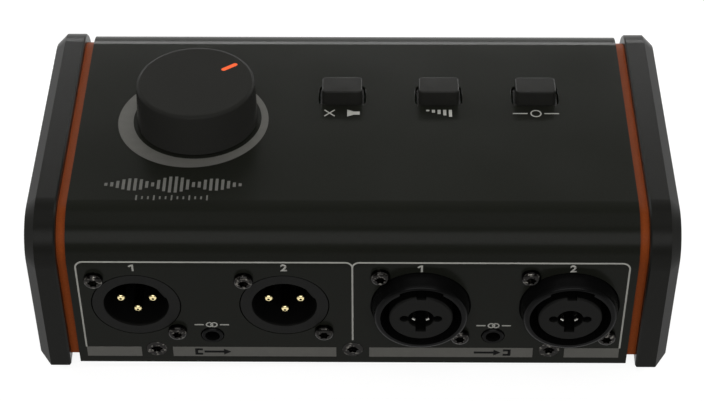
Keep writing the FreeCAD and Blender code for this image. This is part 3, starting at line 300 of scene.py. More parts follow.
def solder_resist(name):
    """Green resist over etched copper on glass fibre: the tracks show through as lighter raised lines."""
    green, track = linear("#123f2b"), linear("#1f6a45")
    pitch, strand, copper = 5.08, 0.6, 0.035
    made, tree, shader, place = surface(name, green, Coat_Weight=0.3)
    tracks = add(tree, "TexBrick", {"Vector": place}, Scale=1 / (pitch * MM), Mortar_Size=0.05,
                 Mortar_Smooth=0.1, Color1=(*green, 1), Color2=(*green, 1), Mortar=(*track, 1))
    weave = add(tree, "TexNoise", {"Vector": place}, Scale=1 / (strand * MM), Detail=2.0)
    tree.links.new(tracks.outputs["Color"], shader.inputs["Base Color"])
    gloss(tree, shader, weave.outputs["Fac"], 0.26, 0.38)
    relief(tree, shader, tracks.outputs["Fac"], copper * MM)
    return made


def ribbon_vinyl(name):
    """Extruded grey vinyl over side-by-side wires: soft round ribs along the cable."""
    colour = linear("#8f9092")
    pitch, patch, depth = 1.27, 3, 0.25
    made, tree, shader, place = surface(name, colour)
    ribs = add(tree, "TexWave", {"Vector": place}, bands_direction="X", Scale=WAVE_PITCH / (pitch * MM))
    smear = add(tree, "TexNoise", {"Vector": place}, Scale=1 / (patch * MM), Detail=3.0)
    tint(tree, shader, ribs.outputs["Fac"], colour, 0.18)
    gloss(tree, shader, smear.outputs["Fac"], 0.38, 0.5)
    relief(tree, shader, ribs.outputs["Fac"], depth * MM)
    return made


# Faces that meet at less than the first angle are one face, and an edge over the second is rounded. Shading
# is smooth up to the third.
FLAT_ANGLE, EDGE_ANGLE, SHARP_ANGLE = math.radians(1), math.radians(35), math.radians(50)


def dress(material, *nodes):
    """Gives solids of the frame one finish."""
    for name in nodes:
        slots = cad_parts[name].data.materials
        slots.clear()
        slots.append(material)


def piece(name, bm, finish):
    """Makes a piece of the housing out of a finished shape."""
    mesh = bpy.data.meshes.new(name)
    bm.to_mesh(mesh)
    bm.free()
    mesh.materials.append(finish)
    made = bpy.data.objects.new(name, mesh)
    bpy.context.scene.collection.objects.link(made)
    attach(made, "housing")
    return made


def rounded(node, width, finish):
    """Stands for a solid with a copy of it whose edges are a little rounded, so that they catch light."""
    bm = bmesh.new()
    bm.from_mesh(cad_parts[node].data)
    bmesh.ops.remove_doubles(bm, verts=bm.verts, dist=WELD * MM)
    bmesh.ops.dissolve_limit(bm, angle_limit=FLAT_ANGLE, verts=bm.verts, edges=bm.edges)
    sharp = [edge for edge in bm.edges if edge.calc_face_angle(0) > EDGE_ANGLE]
    bmesh.ops.bevel(bm, geom=sharp, offset=width * MM, segments=2, profile=0.5, affect="EDGES", material=-1,
                    clamp_overlap=True)
    for face in bm.faces:
        face.smooth = True
    made = piece(f"{node}_rounded", bm, finish)
    made.data.set_sharp_from_angle(angle=SHARP_ANGLE)
    made.modifiers.new("flat faces", "WEIGHTED_NORMAL").keep_sharp = True
    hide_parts(node)


# ---------------------------------------------------------------- flat artwork, in millimetres
def bar(bm, width, height, x=0.0, y=0.0, turn=0.0, taper=1.0):
    """A filled bar about x, y, turned by degrees; taper widens or narrows its right end. Returns its face."""
    place = Matrix.Translation((x, y, 0)) @ Matrix.Rotation(math.radians(turn), 4, "Z")
    size = Matrix.Diagonal((width, height, 1, 1))
    verts = bmesh.ops.create_grid(bm, x_segments=1, y_segments=1, size=0.5)["verts"]
    for vert in verts:
        if vert.co.x > 0:
            vert.co.y *= taper
    bmesh.ops.transform(bm, matrix=place @ size, verts=verts)
    return verts[0].link_faces[0]


def ring(bm, outer, inner, x=0.0, y=0.0, steps=48, shift=(0.0, 0.0)):
    """A flat ring; shift moves its outer circle off the inner one's centre. Returns its faces."""
    edges = []
    for radius, at in ((outer, (x + shift[0], y + shift[1], 0)), (inner, (x, y, 0))):
        made = bmesh.ops.create_circle(bm, segments=steps, radius=radius, matrix=Matrix.Translation(at))
        edges += list({e for v in made["verts"] for e in v.link_edges})
    return bmesh.ops.bridge_loops(bm, edges=edges)["faces"]


def cross(bm, length, stroke, x, y):
    """Two strokes that cross at 45 degrees without lying on each other."""
    bar(bm, length, stroke, x, y, 45)
    arm = (length - stroke) / 2
    for side in (-1, 1):
        off = side * (stroke + arm) / 2 * math.sqrt(0.5)
        bar(bm, arm, stroke, x + off, y - off, -45)


# A figure of the built-in face is this share of its size tall, and is thickened by this share of its height.
FIGURE_SHARE, FIGURE_WEIGHT = 0.72, 0.05


def figure(bm, text, height, x, y):
    """A plain figure in the built-in face, whose bare stroke of a one is given its flag."""
    if text == "1":
        stroke = height / 5
        bar(bm, stroke, height, x + stroke / 2, y)
        bar(bm, 0.4 * height, stroke, x - 0.75 * stroke, y + 0.3 * height, 38)
        return
    curve = bpy.data.curves.new("figure", "FONT")
    curve.body, curve.align_x, curve.align_y = text, "CENTER", "CENTER"
    curve.size, curve.offset = height / FIGURE_SHARE, FIGURE_WEIGHT * height
    carrier = bpy.data.objects.new("figure", curve)
    bpy.context.scene.collection.objects.link(carrier)
    bpy.context.view_layer.update()
    mesh = bpy.data.meshes.new_from_object(carrier.evaluated_get(bpy.context.evaluated_depsgraph_get()))
    mesh.transform(Matrix.Translation((x, y, 0)))
    bm.from_mesh(mesh)
    bpy.data.objects.remove(carrier)
    bpy.data.curves.remove(curve)
    bpy.data.meshes.remove(mesh)


def cut(bm, point, normal, drop=False):
    """Cuts the artwork along a line; drop removes what lies on the normal's side."""
    bmesh.ops.bisect_plane(bm, geom=bm.verts[:] + bm.edges[:] + bm.faces[:], plane_co=point, plane_no=normal,
                           clear_outer=drop)


def fold_over_bend(bm):
    """Lays flat print on the rear panel over the bend above it, in strips low enough to follow it."""
    strip, top = 0.35, max(vert.co.y for vert in bm.verts)
    for step in range(math.ceil((top - BEND_FROM) / strip)):
        cut(bm, (0, BEND_FROM + step * strip, 0), (0, 1, 0))
    for vert in bm.verts:
        over = vert.co.y - BEND_FROM
        if over > 0:
            vert.co.z -= BEND - math.sqrt(BEND ** 2 - over ** 2)


def printed(name, bm, panel, ink, lift=0.0):
    """Gives flat artwork the ink's thickness and puts it on its panel."""
    thickness = bpy.context.scene.controller_print.ink / MM
    bmesh.ops.remove_doubles(bm, verts=bm.verts, dist=WELD)
    bmesh.ops.recalc_face_normals(bm, faces=bm.faces)
    if panel is REAR_PANEL:
        fold_over_bend(bm)
    raised = bmesh.ops.extrude_face_region(bm, geom=bm.faces[:])["geom"]
    upper = [part for part in raised if isinstance(part, bmesh.types.BMVert)]
    bmesh.ops.translate(bm, vec=(0, 0, thickness), verts=upper)
    bmesh.ops.translate(bm, vec=(0, 0, lift * thickness), verts=bm.verts)
    bmesh.ops.transform(bm, matrix=Matrix.Scale(MM, 4) @ panel, verts=bm.verts)
    bmesh.ops.recalc_face_normals(bm, faces=bm.faces)
    piece(name, bm, ink)


def pale_ink(context):
    """The ink of the lines and signs."""
    return screen_ink("pale_screen_ink", context.scene.controller_colours.pale_ink)


def grey_ink(context):
    """The ink of the bands and the level mark."""
    return screen_ink("grey_screen_ink", context.scene.controller_colours.grey_ink)


# ---------------------------------------------------------------- finishes of the solids
class CONTROLLER_OT_housing(bpy.types.Operator):
    """Folded cover and base tray"""
    bl_idname = "controller.housing"
    bl_label = "Housing"

    def execute(self, context):
        colour = context.scene.controller_colours.housing
        # Fine powder on folded steel: near black and satin, greyer where it turns towards the light.
        coat = powder_coat("powder_coated_steel", colour, grain=0.35, rough=(0.19, 0.22),
                           Specular_IOR_Level=0.045)
        dress(coat, "housing_cover", "base_tray")
        return {"FINISHED"}


class CONTROLLER_OT_side_plates(bpy.types.Operator):
    """Side cheeks and the coloured plates between them and the housing"""
    bl_idname = "controller.side_plates"
    bl_label = "Side plates"

    def execute(self, context):
        colours = context.scene.controller_colours
        # Powder on milled aluminium: as dark as the housing, and a little duller.
        dark = powder_coat("powder_coated_aluminium", colours.cheeks, grain=0.3, rough=(0.27, 0.3),
                           Specular_IOR_Level=0.05)
        dress(dark, "side_cheek_left", "side_cheek_right")
        # Powder on sheet: a burnt orange, matt enough to keep its colour where it faces the light.
        orange = powder_coat("orange_powder_coat", colours.accents, grain=0.3, rough=(0.4, 0.46),
                             Specular_IOR_Level=0.03)
        dress(orange, "accent_plate_left", "accent_plate_right")
        return {"FINISHED"}


class CONTROLLER_OT_volume_knob(bpy.types.Operator):
    """Turned knob and the inlay that points at the volume"""
    bl_idname = "controller.volume_knob"
    bl_label = "Volume knob"

    def execute(self, context):
        colours = context.scene.controller_colours
        # Black dye in the anodic layer: a soft even grey on the top, darker down the side.
        dyed = turned_anodised("turned_anodised_aluminium", colours.knob, rough=(0.17, 0.21),
                               Specular_IOR_Level=0.012)
        dress(dyed, "volume_knob")
        # Paint filled into a milled slot: matt, with a faint unevenness.
        paint = moulded("orange_filled_paint", colours.pointer, texture=0.3, rough=(0.42, 0.55),
                        Specular_IOR_Level=0.08)
        dress(paint, "knob_pointer")
        return {"FINISHED"}


class CONTROLLER_OT_volume_control(bpy.types.Operator):
    """Potentiometer under the knob, with its bush, washer and nut"""
    bl_idname = "controller.volume_control"
    bl_label = "Volume control"

    def execute(self, context):
        # Bright zinc on pressed steel: blueish grey, a little cloudy.
        zinc = plated("zinc_plated_steel", linear("#b9bbbd"), rough=(0.28, 0.42), haze=0.1)
        dress(zinc, "potentiometer_case", "bush_washer", "bush_nut")
        # Brass from the lathe: warm yellow under a soft sheen.
        brass = plated("turned_brass", linear("#d3b26a"), rough=(0.24, 0.36), haze=0.08)
        dress(brass, "potentiometer_bush", "potentiometer_shaft")
        return {"FINISHED"}


class CONTROLLER_OT_push_buttons(bpy.types.Operator):
    """Caps, switches and plungers of the push buttons"""
    bl_idname = "controller.push_buttons"
    bl_label = "Push buttons"

    def execute(self, context):
        names = ("mute_button", "dim_button", "mono_button")
        # Finely eroded ABS: dark and silky.
        abs_plastic = moulded("spark_eroded_abs", context.scene.controller_colours.caps, texture=0.2,
                              rough=(0.2, 0.23), Specular_IOR_Level=0.06)
        dress(abs_plastic, *(f"{name}_cap" for name in names))
        # Filled polyester: blunt black, matt.
        polyester = moulded("moulded_polyester", linear("#222222"), texture=0.4, rough=(0.45, 0.58))
        dress(polyester, *(f"{name}_switch" for name in names))
        # Acetal: waxy white.
        acetal = moulded("moulded_acetal", linear("#e4e2dc"), texture=0.6, rough=(0.3, 0.42),
                         Subsurface_Weight=0.1, Subsurface_Radius=(MM, MM, MM))
        dress(acetal, *(f"{name}_plunger" for name in names))
        return {"FINISHED"}


class CONTROLLER_OT_output_sockets(bpy.types.Operator):
    """Flush three-pin sockets"""
    bl_idname = "controller.output_sockets"
    bl_label = "Output sockets"

    def execute(self, context):
        # Glass-filled nylon: near black and satin, clouded where the melt met the wall, with shade painted in
        # the cavity.
        nylon = moulded("glass_filled_nylon", linear("#1c1c1b"), texture=0.4, rough=(0.34, 0.44),
                        painted_shade=(REAR - 0.1, 0.8, 0.2), Specular_IOR_Level=0.04)
        dress(nylon, "output_left_shell", "output_right_shell")
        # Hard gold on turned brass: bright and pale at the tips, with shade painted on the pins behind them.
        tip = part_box("output_left_pins")[1].y / MM
        gold = plated("gold_plated_brass", linear("#f7e6b0"), rough=(0.14, 0.22),
                      painted_shade=(tip - 0.05, 0.45, 0.03, 0.3))
        dress(gold, "output_left_pins", "output_right_pins")
        return {"FINISHED"}


class CONTROLLER_OT_input_sockets(bpy.types.Operator):
    """Sockets with a proud collar, a core and spring contacts"""
    bl_idname = "controller.input_sockets"
    bl_label = "Input sockets"

    def execute(self, context):
        # Nylon from a polished mould: the collar is blacker and crisper than the flush sockets.
        polished = moulded("polished_nylon", linear("#0a0a0a"), texture=0.4, rough=(0.22, 0.28),
                           Specular_IOR_Level=0.055)
        dress(polished, "input_left_shell", "input_right_shell")
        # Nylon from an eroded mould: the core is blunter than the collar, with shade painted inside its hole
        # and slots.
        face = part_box("input_left_core")[1].y / MM
        matt = moulded("matt_nylon", linear("#171716"), texture=0.3, rough=(0.4, 0.5),
                       painted_shade=(face - 0.1, 0.8, 0.12), Specular_IOR_Level=0.04)
        dress(matt, "input_left_core", "input_right_core")
        # Rolled bronze strip with silver on it: white and bright.
        silver = plated("silver_plated_bronze", linear("#d9d7d0"), rough=(0.18, 0.28))
        for side in ("left", "right"):
            self.spring_contacts(f"input_{side}", silver)
        return {"FINISHED"}

    def spring_contacts(self, socket, silver):
        """Two sprung strips in the lower half of the plug's hole, whose ends curl out into their grooves."""
        low, high = (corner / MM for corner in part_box(f"{socket}_core"))
        # They start this far back and lean in until the place of the curl. Radii are measured in the hole.
        width, thickness, curl, back = 0.9, 0.2, 0.4, 12.0
        bent_at, bent_radius, rear_radius = 2.5, 2.95, 3.35
        turn_from_top, curl_angle = 145, math.radians(90)
        bm = bmesh.new()
        for turn in (-turn_from_top, turn_from_top):
            ends = [bm.verts.new((x, -back, rear_radius)) for x in (-width / 2, width / 2)]
            geom = ends + [bm.edges.new(ends)]
            run = bmesh.ops.extrude_edge_only(bm, edges=[geom[-1]])["geom"]
            tip = [v for v in run if isinstance(v, bmesh.types.BMVert)]
            bmesh.ops.translate(bm, vec=(0, back - bent_at, bent_radius - rear_radius), verts=tip)
            line = [e for e in run if isinstance(e, bmesh.types.BMEdge) and set(e.verts) == set(tip)]
            bmesh.ops.spin(bm, geom=tip + line, cent=(0, -bent_at, bent_radius + curl), axis=(1, 0, 0),
                           dvec=(0, 0, 0), angle=curl_angle, steps=8)
            made = [v for v in bm.verts if v.is_valid and not v.tag]
            bmesh.ops.transform(bm, matrix=Matrix.Rotation(math.radians(turn), 4, "Y"), verts=made)
            for vert in bm.verts:
                vert.tag = True
        bmesh.ops.remove_doubles(bm, verts=bm.verts, dist=WELD)
        bmesh.ops.recalc_face_normals(bm, faces=bm.faces)
        bmesh.ops.solidify(bm, geom=bm.faces[:], thickness=thickness)
        centre = Matrix.Translation(((low.x + high.x) / 2, high.y, (low.z + high.z) / 2))
        bmesh.ops.transform(bm, matrix=Matrix.Scale(MM, 4) @ centre, verts=bm.verts)
        bmesh.ops.recalc_face_normals(bm, faces=bm.faces)
        for face in bm.faces:
            face.smooth = True
        strips = piece(f"{socket}_spring_contacts", bm, silver)
        strips.data.set_sharp_from_angle(angle=SHARP_ANGLE)
        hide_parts(f"{socket}_contacts")


class CONTROLLER_OT_small_sockets(bpy.types.Operator):
    """Sockets for 3.5 mm plugs"""
    bl_idname = "controller.small_sockets"
    bl_label = "Small sockets"

    def execute(self, context):
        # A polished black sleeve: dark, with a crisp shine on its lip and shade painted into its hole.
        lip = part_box("output_mini_socket")[1].y / MM
        sleeve = moulded("polished_black_sleeve", linear("#0f0f0f"), texture=0.3, rough=(0.14, 0.2),
                         painted_shade=(lip - 0.4, 1.0, 0.1), Specular_IOR_Level=0.04)
        dress(sleeve, "output_mini_socket", "input_mini_socket")
        return {"FINISHED"}


class CONTROLLER_OT_circuit_boards(bpy.types.Operator):
    """Boards, headers, standoffs and the ribbon cable between the boards"""
    bl_idname = "controller.circuit_boards"
    bl_label = "Circuit boards"

    def execute(self, context):
        dress(solder_resist("solder_resist"), "control_board", "connector_board")
        dress(bpy.data.materials["moulded_polyester"], "control_board_header", "connector_board_header")
        dress(bpy.data.materials["turned_brass"], "board_standoffs")
        dress(ribbon_vinyl("extruded_vinyl"), "ribbon_cable")
        return {"FINISHED"}


class CONTROLLER_OT_fasteners(bpy.types.Operator):
    """Screws and feet"""
    bl_idname = "controller.fasteners"
    bl_label = "Fasteners"

    def execute(self, context):
        blackened = black_oxide("black_oxide_steel")
        rounded("case_screws", width=0.3, finish=blackened)
        dress(blackened, "socket_screws")
        dress(bpy.data.materials["zinc_plated_steel"], "cheek_screws", "board_screws")
        # Moulded rubber: soft black with a dusty bloom.
        rubber = moulded("moulded_rubber", linear("#1f1f1f"), texture=0.5, rough=(0.7, 0.82),
                         Sheen_Weight=0.15)
        dress(rubber, "rubber_feet")
        return {"FINISHED"}


# ---------------------------------------------------------------- print on the rear panel
class CONTROLLER_OT_socket_frame(bpy.types.Operator):
    """Two rounded frames round the outputs and the inputs, which share the line between them"""
    bl_idname = "controller.socket_frame"
    bl_label = "Socket frame"

    def execute(self, context):
        line = context.scene.controller_print.line / MM
        corner, divider_corner, divider_foot = 2.1, 1.9, 8.9
        left, right, foot = -FRAME_HALF_WIDTH, line / 2, BAND_TOP - 2 * line
        bm = bmesh.new()
        middle = (left + right) / 2
        bar(bm, right - left, FRAME_TOP - foot, middle, (FRAME_TOP + foot) / 2)
        for side, radius in ((-1, corner), (1, divider_corner)):
            tip = [v for v in bm.verts if v.co.y > foot + 1 and (v.co.x - middle) * side > 0]
            bmesh.ops.bevel(bm, geom=tip, offset=radius, offset_type="OFFSET", segments=8, profile=0.5,
                            affect="VERTICES", material=-1)
        band = bmesh.ops.inset_region(bm, faces=bm.faces[:], thickness=line, use_boundary=True,
                                      use_even_offset=True)
        bmesh.ops.delete(bm, geom=[f for f in bm.faces if f not in band["faces"]], context="FACES")
        cut(bm, (0, BAND_TOP, 0), (0, -1, 0), drop=True)
        cut(bm, (0, 0, 0), (1, 0, 0), drop=True)
        cut(bm, (0, divider_foot, 0), (0, 1, 0))
        bmesh.ops.delete(bm, geom=[f for f in bm.faces if f.calc_center_median().x > -1
                                   and f.calc_center_median().y < divider_foot], context="FACES")
        bmesh.ops.mirror(bm, geom=bm.verts[:] + bm.edges[:] + bm.faces[:], merge_dist=0.01, axis="X")
        printed("socket_frame_print", bm, REAR_PANEL, pale_ink(context))
        return {"FINISHED"}


class CONTROLLER_OT_foot_bands(bpy.types.Operator):
    """Grey bands along the foot of the rear panel, which stop short of the screws"""
    bl_idname = "controller.foot_bands"
    bl_label = "Foot bands"

    def execute(self, context):
        long_band, short_band = (4.2, 45.9), (53.9, FRAME_HALF_WIDTH - 0.25)
        bm = bmesh.new()
        for side in (-1, 1):
            for near, far in (long_band, short_band):
                bar(bm, far - near, BAND_TOP - BAND_FOOT, side * (near + far) / 2, BAND_HEIGHT)
        printed("foot_band_print", bm, REAR_PANEL, grey_ink(context))
        return {"FINISHED"}


class CONTROLLER_OT_channel_figures(bpy.types.Operator):
    """A plain figure over each large socket"""
    bl_idname = "controller.channel_figures"
    bl_label = "Channel figures"

    def execute(self, context):
        bm = bmesh.new()
        for column, text in zip(SOCKET_COLUMNS, "1212"):
            figure(bm, text, context.scene.controller_print.figure / MM, column, FIGURE_HEIGHT)
        printed("channel_figures", bm, REAR_PANEL, pale_ink(context))
        return {"FINISHED"}


class CONTROLLER_OT_small_socket_signs(bpy.types.Operator):
    """Two linked rings between dashes over each small socket"""
    bl_idname = "controller.small_socket_signs"
    bl_label = "Small socket signs"

    def execute(self, context):
        bm = bmesh.new()
        outer, inner, apart = 0.95, 0.62, 0.55
        dash, dash_stroke, dash_reach = 2.3, 0.4, 3.2
        for column in (-MINI_COLUMN, MINI_COLUMN):
            ring(bm, outer, inner, column - apart, MINI_SIGN_HEIGHT)
            second = ring(bm, outer, inner, column + apart, MINI_SIGN_HEIGHT)
            first_centre = Vector((column - apart, MINI_SIGN_HEIGHT, 0))
            hidden = [f for f in second if inner < (f.calc_center_median() - first_centre).length < outer]
            bmesh.ops.delete(bm, geom=hidden, context="FACES")
            for side in (-1, 1):
                bar(bm, dash, dash_stroke, column + side * dash_reach, MINI_SIGN_HEIGHT)
        printed("small_socket_signs", bm, REAR_PANEL, pale_ink(context))
        return {"FINISHED"}


class CONTROLLER_OT_band_signs(bpy.types.Operator):
    """Arrows on the bands: out of a box for the outputs, into a box for the inputs"""
    bl_idname = "controller.band_signs"
    bl_label = "Band signs"

    def execute(self, context):
        colour = context.scene.controller_colours.black_ink
        stroke, box_height, box_reach = 0.75, 2.5, 4.4
        lip, lip_reach = 1.4, 3.5
        shaft, head, head_height, point = 5.0, 1.8, 2.3, 0.02
        bm = bmesh.new()
        for column, back, start in ((-MINI_COLUMN, -1, -2.4), (MINI_COLUMN, 1, -4.6)):
            bar(bm, stroke, box_height, column + back * box_reach, BAND_HEIGHT)
            for off in (-(box_height - stroke) / 2, (box_height - stroke) / 2):
                bar(bm, lip, stroke, column + back * lip_reach, BAND_HEIGHT + off)
            bar(bm, shaft, stroke, column + start + shaft / 2, BAND_HEIGHT)
            bar(bm, head, head_height, column + start + shaft + head / 2, BAND_HEIGHT, taper=point)
        printed("band_signs", bm, REAR_PANEL, screen_ink("black_screen_ink", colour), lift=1)
        return {"FINISHED"}


# ---------------------------------------------------------------- print on the top panel
class CONTROLLER_OT_scale_ring(bpy.types.Operator):
    """Ring round the knob that grows thicker towards full volume and is open towards the user"""
    bl_idname = "controller.scale_ring"
    bl_label = "Scale ring"

    def execute(self, context):
        radius = context.scene.controller_print.ring_radius / MM
        inner, shift, open_from, open_to = 16.4, (1.03, 0.6), 240, 300
        bm = bmesh.new()
        ring(bm, radius, inner, KNOB_X, -KNOB_REACH, 120, shift)
        centre = Vector((KNOB_X, -KNOB_REACH, 0))
        away = [(f, f.calc_center_median() - centre) for f in bm.faces]
        gap = [f for f, v in away if open_from < math.degrees(math.atan2(v.y, v.x)) % 360 < open_to]
        bmesh.ops.delete(bm, geom=gap, context="FACES")
        ink = screen_ink("dark_grey_screen_ink", context.scene.controller_colours.ring_ink)
        printed("volume_scale_ring", bm, TOP_PANEL, ink)
        return {"FINISHED"}


class CONTROLLER_OT_button_signs(bpy.types.Operator):
    """Signs behind the buttons, read by the user: a speaker and a cross, falling bars, a ring on a line"""
    bl_idname = "controller.button_signs"
    bl_label = "Button signs"

    def execute(self, context):
        stroke = context.scene.controller_print.stroke / MM
        tall, y = 2.9, -BUTTON_SIGN_REACH
        bm = bmesh.new()
        x = BUTTON_SIGNS["mute"]
        magnet, magnet_height, cone = 1.5, 1.3, 1.7
        bar(bm, magnet, magnet_height, x - 3.8, y)
        bar(bm, cone, magnet_height, x - 2.2, y, taper=tall / magnet_height)
        cross(bm, 3.7, stroke, x + 3.2, y)

        x = BUTTON_SIGNS["dim"]
        steps, step_width, step_pitch = 5, 0.8, 1.45
        for step in range(steps):
            height = tall * (steps - step) / steps
            bar(bm, step_width, height, x + (step - steps // 2) * step_pitch, y + (height - tall) / 2)

        x = BUTTON_SIGNS["mono"]
        arm, gap = 3.8, 0.7
        ring(bm, tall / 2, tall / 2 - stroke, x, y)
        for side in (-1, 1):
            bar(bm, arm, stroke, x + side * (tall / 2 + gap + arm / 2), y)
        printed("button_signs", bm, TOP_PANEL, pale_ink(context))
        return {"FINISHED"}


class CONTROLLER_OT_level_mark(bpy.types.Operator):
    """A plain sound wave drawn in bars between the knob and the rear, with a row of ticks"""
    bl_idname = "controller.level_mark"
    bl_label = "Level mark"

    def execute(self, context):
        middle, reach, width, count = 44.4, 18.4, 33.2, 24
        waves, fade, bar_width, lowest, swell = 9.5, 0.6, 0.75, 1.1, 5.2
        bm = bmesh.new()
        for i in range(count):
            share = i / (count - 1)
            swing = abs(math.sin(waves * share) * math.sin(math.pi * share) ** fade)
            bar(bm, bar_width, lowest + swell * swing, middle + (share - 0.5) * width, -reach)
        ticks, pitch, tick_width, long_tick, short_tick, tick_rise = 13, 1.45, 0.4, 1.9, 1.1, 5.1
        for i in range(ticks):
            height = long_tick if i % 3 == 0 else short_tick
            bar(bm, tick_width, height, middle + (i - ticks // 2) * pitch, tick_rise - reach)
        printed("level_mark", bm, TOP_PANEL, grey_ink(context))
        return {"FINISHED"}


# ---------------------------------------------------------------- stage
def make_floor(scene):
    """White paper, with a glow of its own in the camera and in reflections that keeps it white."""
    radius, sunk, glow_level = 6.0, 0.02 * MM, 0.86
    bm = bmesh.new()
    bmesh.ops.create_circle(bm, cap_ends=True, segments=96, radius=radius)
    mesh = bpy.data.meshes.new("floor")
    bm.to_mesh(mesh)
    bm.free()
    # A hair under the feet, so that their undersides don't lie in the paper.
    mesh.transform(Matrix.Translation((0, 0, -sunk)))
    floor = bpy.data.objects.new("floor", mesh)
    scene.collection.objects.link(floor)
    paper, tree, shader, place = surface("matt_paper", linear("#868685"), Specular_IOR_Level=0.0)
    fibres = add(tree, "TexNoise", {"Vector": place}, Scale=1 / (2 * MM), Detail=3.0)
    gloss(tree, shader, fibres.outputs["Fac"], 0.85, 0.95)
    rays = add(tree, "LightPath").outputs
    seen = add(tree, "Math", {0: rays["Is Camera Ray"], 1: rays["Is Glossy Ray"]}, operation="MAXIMUM")
    seen = add(tree, "Math", {0: seen.outputs[0], 1: rays["Is Transmission Ray"]}, operation="MAXIMUM")
    glow = add(tree, "Math", {0: seen.outputs[0]}, operation="MULTIPLY")
    glow.inputs[1].default_value = glow_level
    tree.links.new(glow.outputs[0], shader.inputs["Emission Strength"])
    shader.inputs["Emission Color"].default_value = (1, 1, 1, 1)
    mesh.materials.append(paper)


def make_world(scene):
    """A wide pale wall on the user's side that fades over the ceiling into a dim room behind the camera."""
    world = bpy.data.worlds.new("studio")
    world.use_nodes = True
    scene.world = world
    tree = world.node_tree
    ray = add(tree, "TexCoord").outputs["Generated"]
    darkest_way = Vector((0, 0.6, 0.8))
    toward = add(tree, "VectorMath", {0: ray}, operation="DOT_PRODUCT")
    toward.inputs[1].default_value = darkest_way
    # The range starts at the horizon on the user's side.
    share = add(tree, "MapRange", {"Value": toward.outputs["Value"]}, From_Min=-darkest_way.y, From_Max=1.0)
    ramp = add(tree, "ValToRGB", {"Fac": share.outputs["Result"]}).color_ramp
    # Places along that range and their light.
    levels = ((0.0, 1.7), (0.1, 1.2), (0.22, 0.5), (0.5, 0.26), (0.75, 0.15), (1.0, 0.12))
    for position, level in levels[1:-1]:
        ramp.elements.new(position)
    for element, (position, level) in zip(ramp.elements, levels):
        element.position, element.color = position, (level, level, level, 1)
    tree.links.new(tree.nodes["Color Ramp"].outputs["Color"], tree.nodes["Background"].inputs["Color"])


def make_lamp(scene, name, place, width, height, watts):
    """A soft rectangular lamp that looks at the middle of the controller."""
    aim = Vector((0, 0, 0.03))
    lamp = bpy.data.lights.new(name, "AREA")
    lamp.shape, lamp.size, lamp.size_y, lamp.energy = "RECTANGLE", width, height, watts
    made = bpy.data.objects.new(name, lamp)
    scene.collection.objects.link(made)
    made.location = place
    made.rotation_euler = (aim - made.location).to_track_quat("-Z", "Y").to_euler()


def make_camera(scene):
    """A camera behind the controller that looks down on its sockets and over its top."""
    place, focal_length, sensor_width = (-0.004477, 0.390592, 0.433682), 110.08, 36.0
    tilt, yaw, roll = math.radians(46.724), math.radians(-0.729), math.radians(0.354)
    ahead = Vector((-math.sin(yaw) * math.cos(tilt), -math.cos(yaw) * math.cos(tilt), -math.sin(tilt)))
    level = Vector((-math.cos(yaw), math.sin(yaw), 0))
    down = ahead.cross(level)
    across = math.cos(roll) * level + math.sin(roll) * down
    down = math.cos(roll) * down - math.sin(roll) * level
    lens = bpy.data.cameras.new("camera")
    lens.lens, lens.sensor_width = focal_length, sensor_width
    camera = bpy.data.objects.new("camera", lens)
    scene.collection.objects.link(camera)
    turn = Matrix((across, -down, -ahead)).transposed().to_4x4()
    camera.matrix_world = Matrix.Translation(place) @ turn
    scene.camera = camera


class CONTROLLER_OT_stage(bpy.types.Operator):
    """Plain floor, soft light and the camera"""
    bl_idname = "controller.stage"
    bl_label = "Stage"

    def execute(self, context):
        scene = context.scene
        make_floor(scene)
        make_world(scene)
        make_lamp(scene, "left_softbox", (-0.95, -0.75, 0.45), 0.6, 0.6, 4.5)
        make_lamp(scene, "right_softbox", (0.95, -0.75, 0.45), 0.6, 0.6, 3.0)
        make_lamp(scene, "far_softbox", (0.0, -1.2, 0.44), 1.8, 0.12, 12.8)
        make_lamp(scene, "near_softbox", (0.0, 0.95, 0.8), 1.2, 0.65, 9.5)
        make_lamp(scene, "top_softbox", (0.0, 0.05, 1.2), 1.6, 0.8, 4.0)
        make_camera(scene)
        scene.view_settings.view_transform = "Standard"
        return {"FINISHED"}


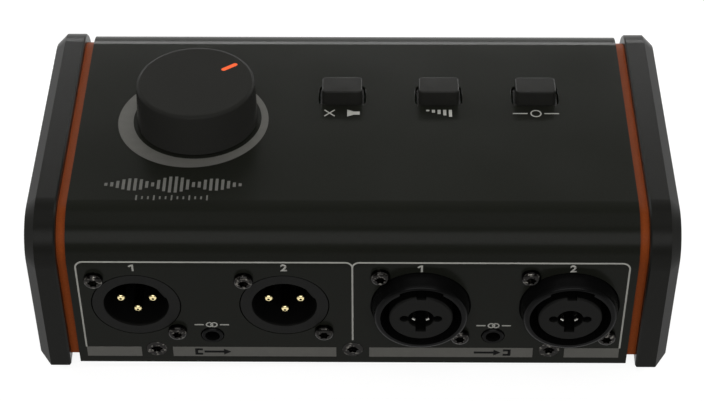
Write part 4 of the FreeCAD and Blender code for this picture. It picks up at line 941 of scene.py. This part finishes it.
# ---------------------------------------------------------------- add-on
OPERATORS = (CONTROLLER_OT_housing, CONTROLLER_OT_side_plates, CONTROLLER_OT_volume_knob,
             CONTROLLER_OT_volume_control, CONTROLLER_OT_push_buttons, CONTROLLER_OT_output_sockets,
             CONTROLLER_OT_input_sockets, CONTROLLER_OT_small_sockets, CONTROLLER_OT_circuit_boards,
             CONTROLLER_OT_fasteners, CONTROLLER_OT_socket_frame, CONTROLLER_OT_foot_bands,
             CONTROLLER_OT_channel_figures, CONTROLLER_OT_small_socket_signs, CONTROLLER_OT_band_signs,
             CONTROLLER_OT_scale_ring, CONTROLLER_OT_button_signs, CONTROLLER_OT_level_mark,
             CONTROLLER_OT_stage)


class CONTROLLER_PT_panel(bpy.types.Panel):
    """Sizes, colours and the steps that build the controller"""
    bl_label = "Monitor Controller"
    bl_idname = "CONTROLLER_PT_panel"
    bl_space_type = "VIEW_3D"
    bl_region_type = "UI"
    bl_category = "Controller"

    def draw(self, context):
        for group in (context.scene.controller_print, context.scene.controller_colours):
            for name in group.__annotations__:
                self.layout.prop(group, name)
        for operator in OPERATORS:
            self.layout.operator(operator.bl_idname)


CLASSES = (ControllerPrint, ControllerColours, *OPERATORS, CONTROLLER_PT_panel)


def register():
    """Makes the classes and the scene's settings known."""
    for item in CLASSES:
        bpy.utils.register_class(item)
    bpy.types.Scene.controller_print = PointerProperty(type=ControllerPrint)
    bpy.types.Scene.controller_colours = PointerProperty(type=ControllerColours)


def unregister():
    """Takes them away again."""
    del bpy.types.Scene.controller_colours
    del bpy.types.Scene.controller_print
    for item in reversed(CLASSES):
        bpy.utils.unregister_class(item)


def main():
    """Builds the controller and its stage."""
    register()
    bpy.ops.controller.housing()
    bpy.ops.controller.side_plates()
    bpy.ops.controller.volume_knob()
    bpy.ops.controller.volume_control()
    bpy.ops.controller.push_buttons()
    bpy.ops.controller.output_sockets()
    bpy.ops.controller.input_sockets()
    bpy.ops.controller.small_sockets()
    bpy.ops.controller.circuit_boards()
    bpy.ops.controller.fasteners()
    bpy.ops.controller.socket_frame()
    bpy.ops.controller.foot_bands()
    bpy.ops.controller.channel_figures()
    bpy.ops.controller.small_socket_signs()
    bpy.ops.controller.band_signs()
    bpy.ops.controller.scale_ring()
    bpy.ops.controller.button_signs()
    bpy.ops.controller.level_mark()
    bpy.ops.controller.stage()


if __name__ == "__main__":
    main()
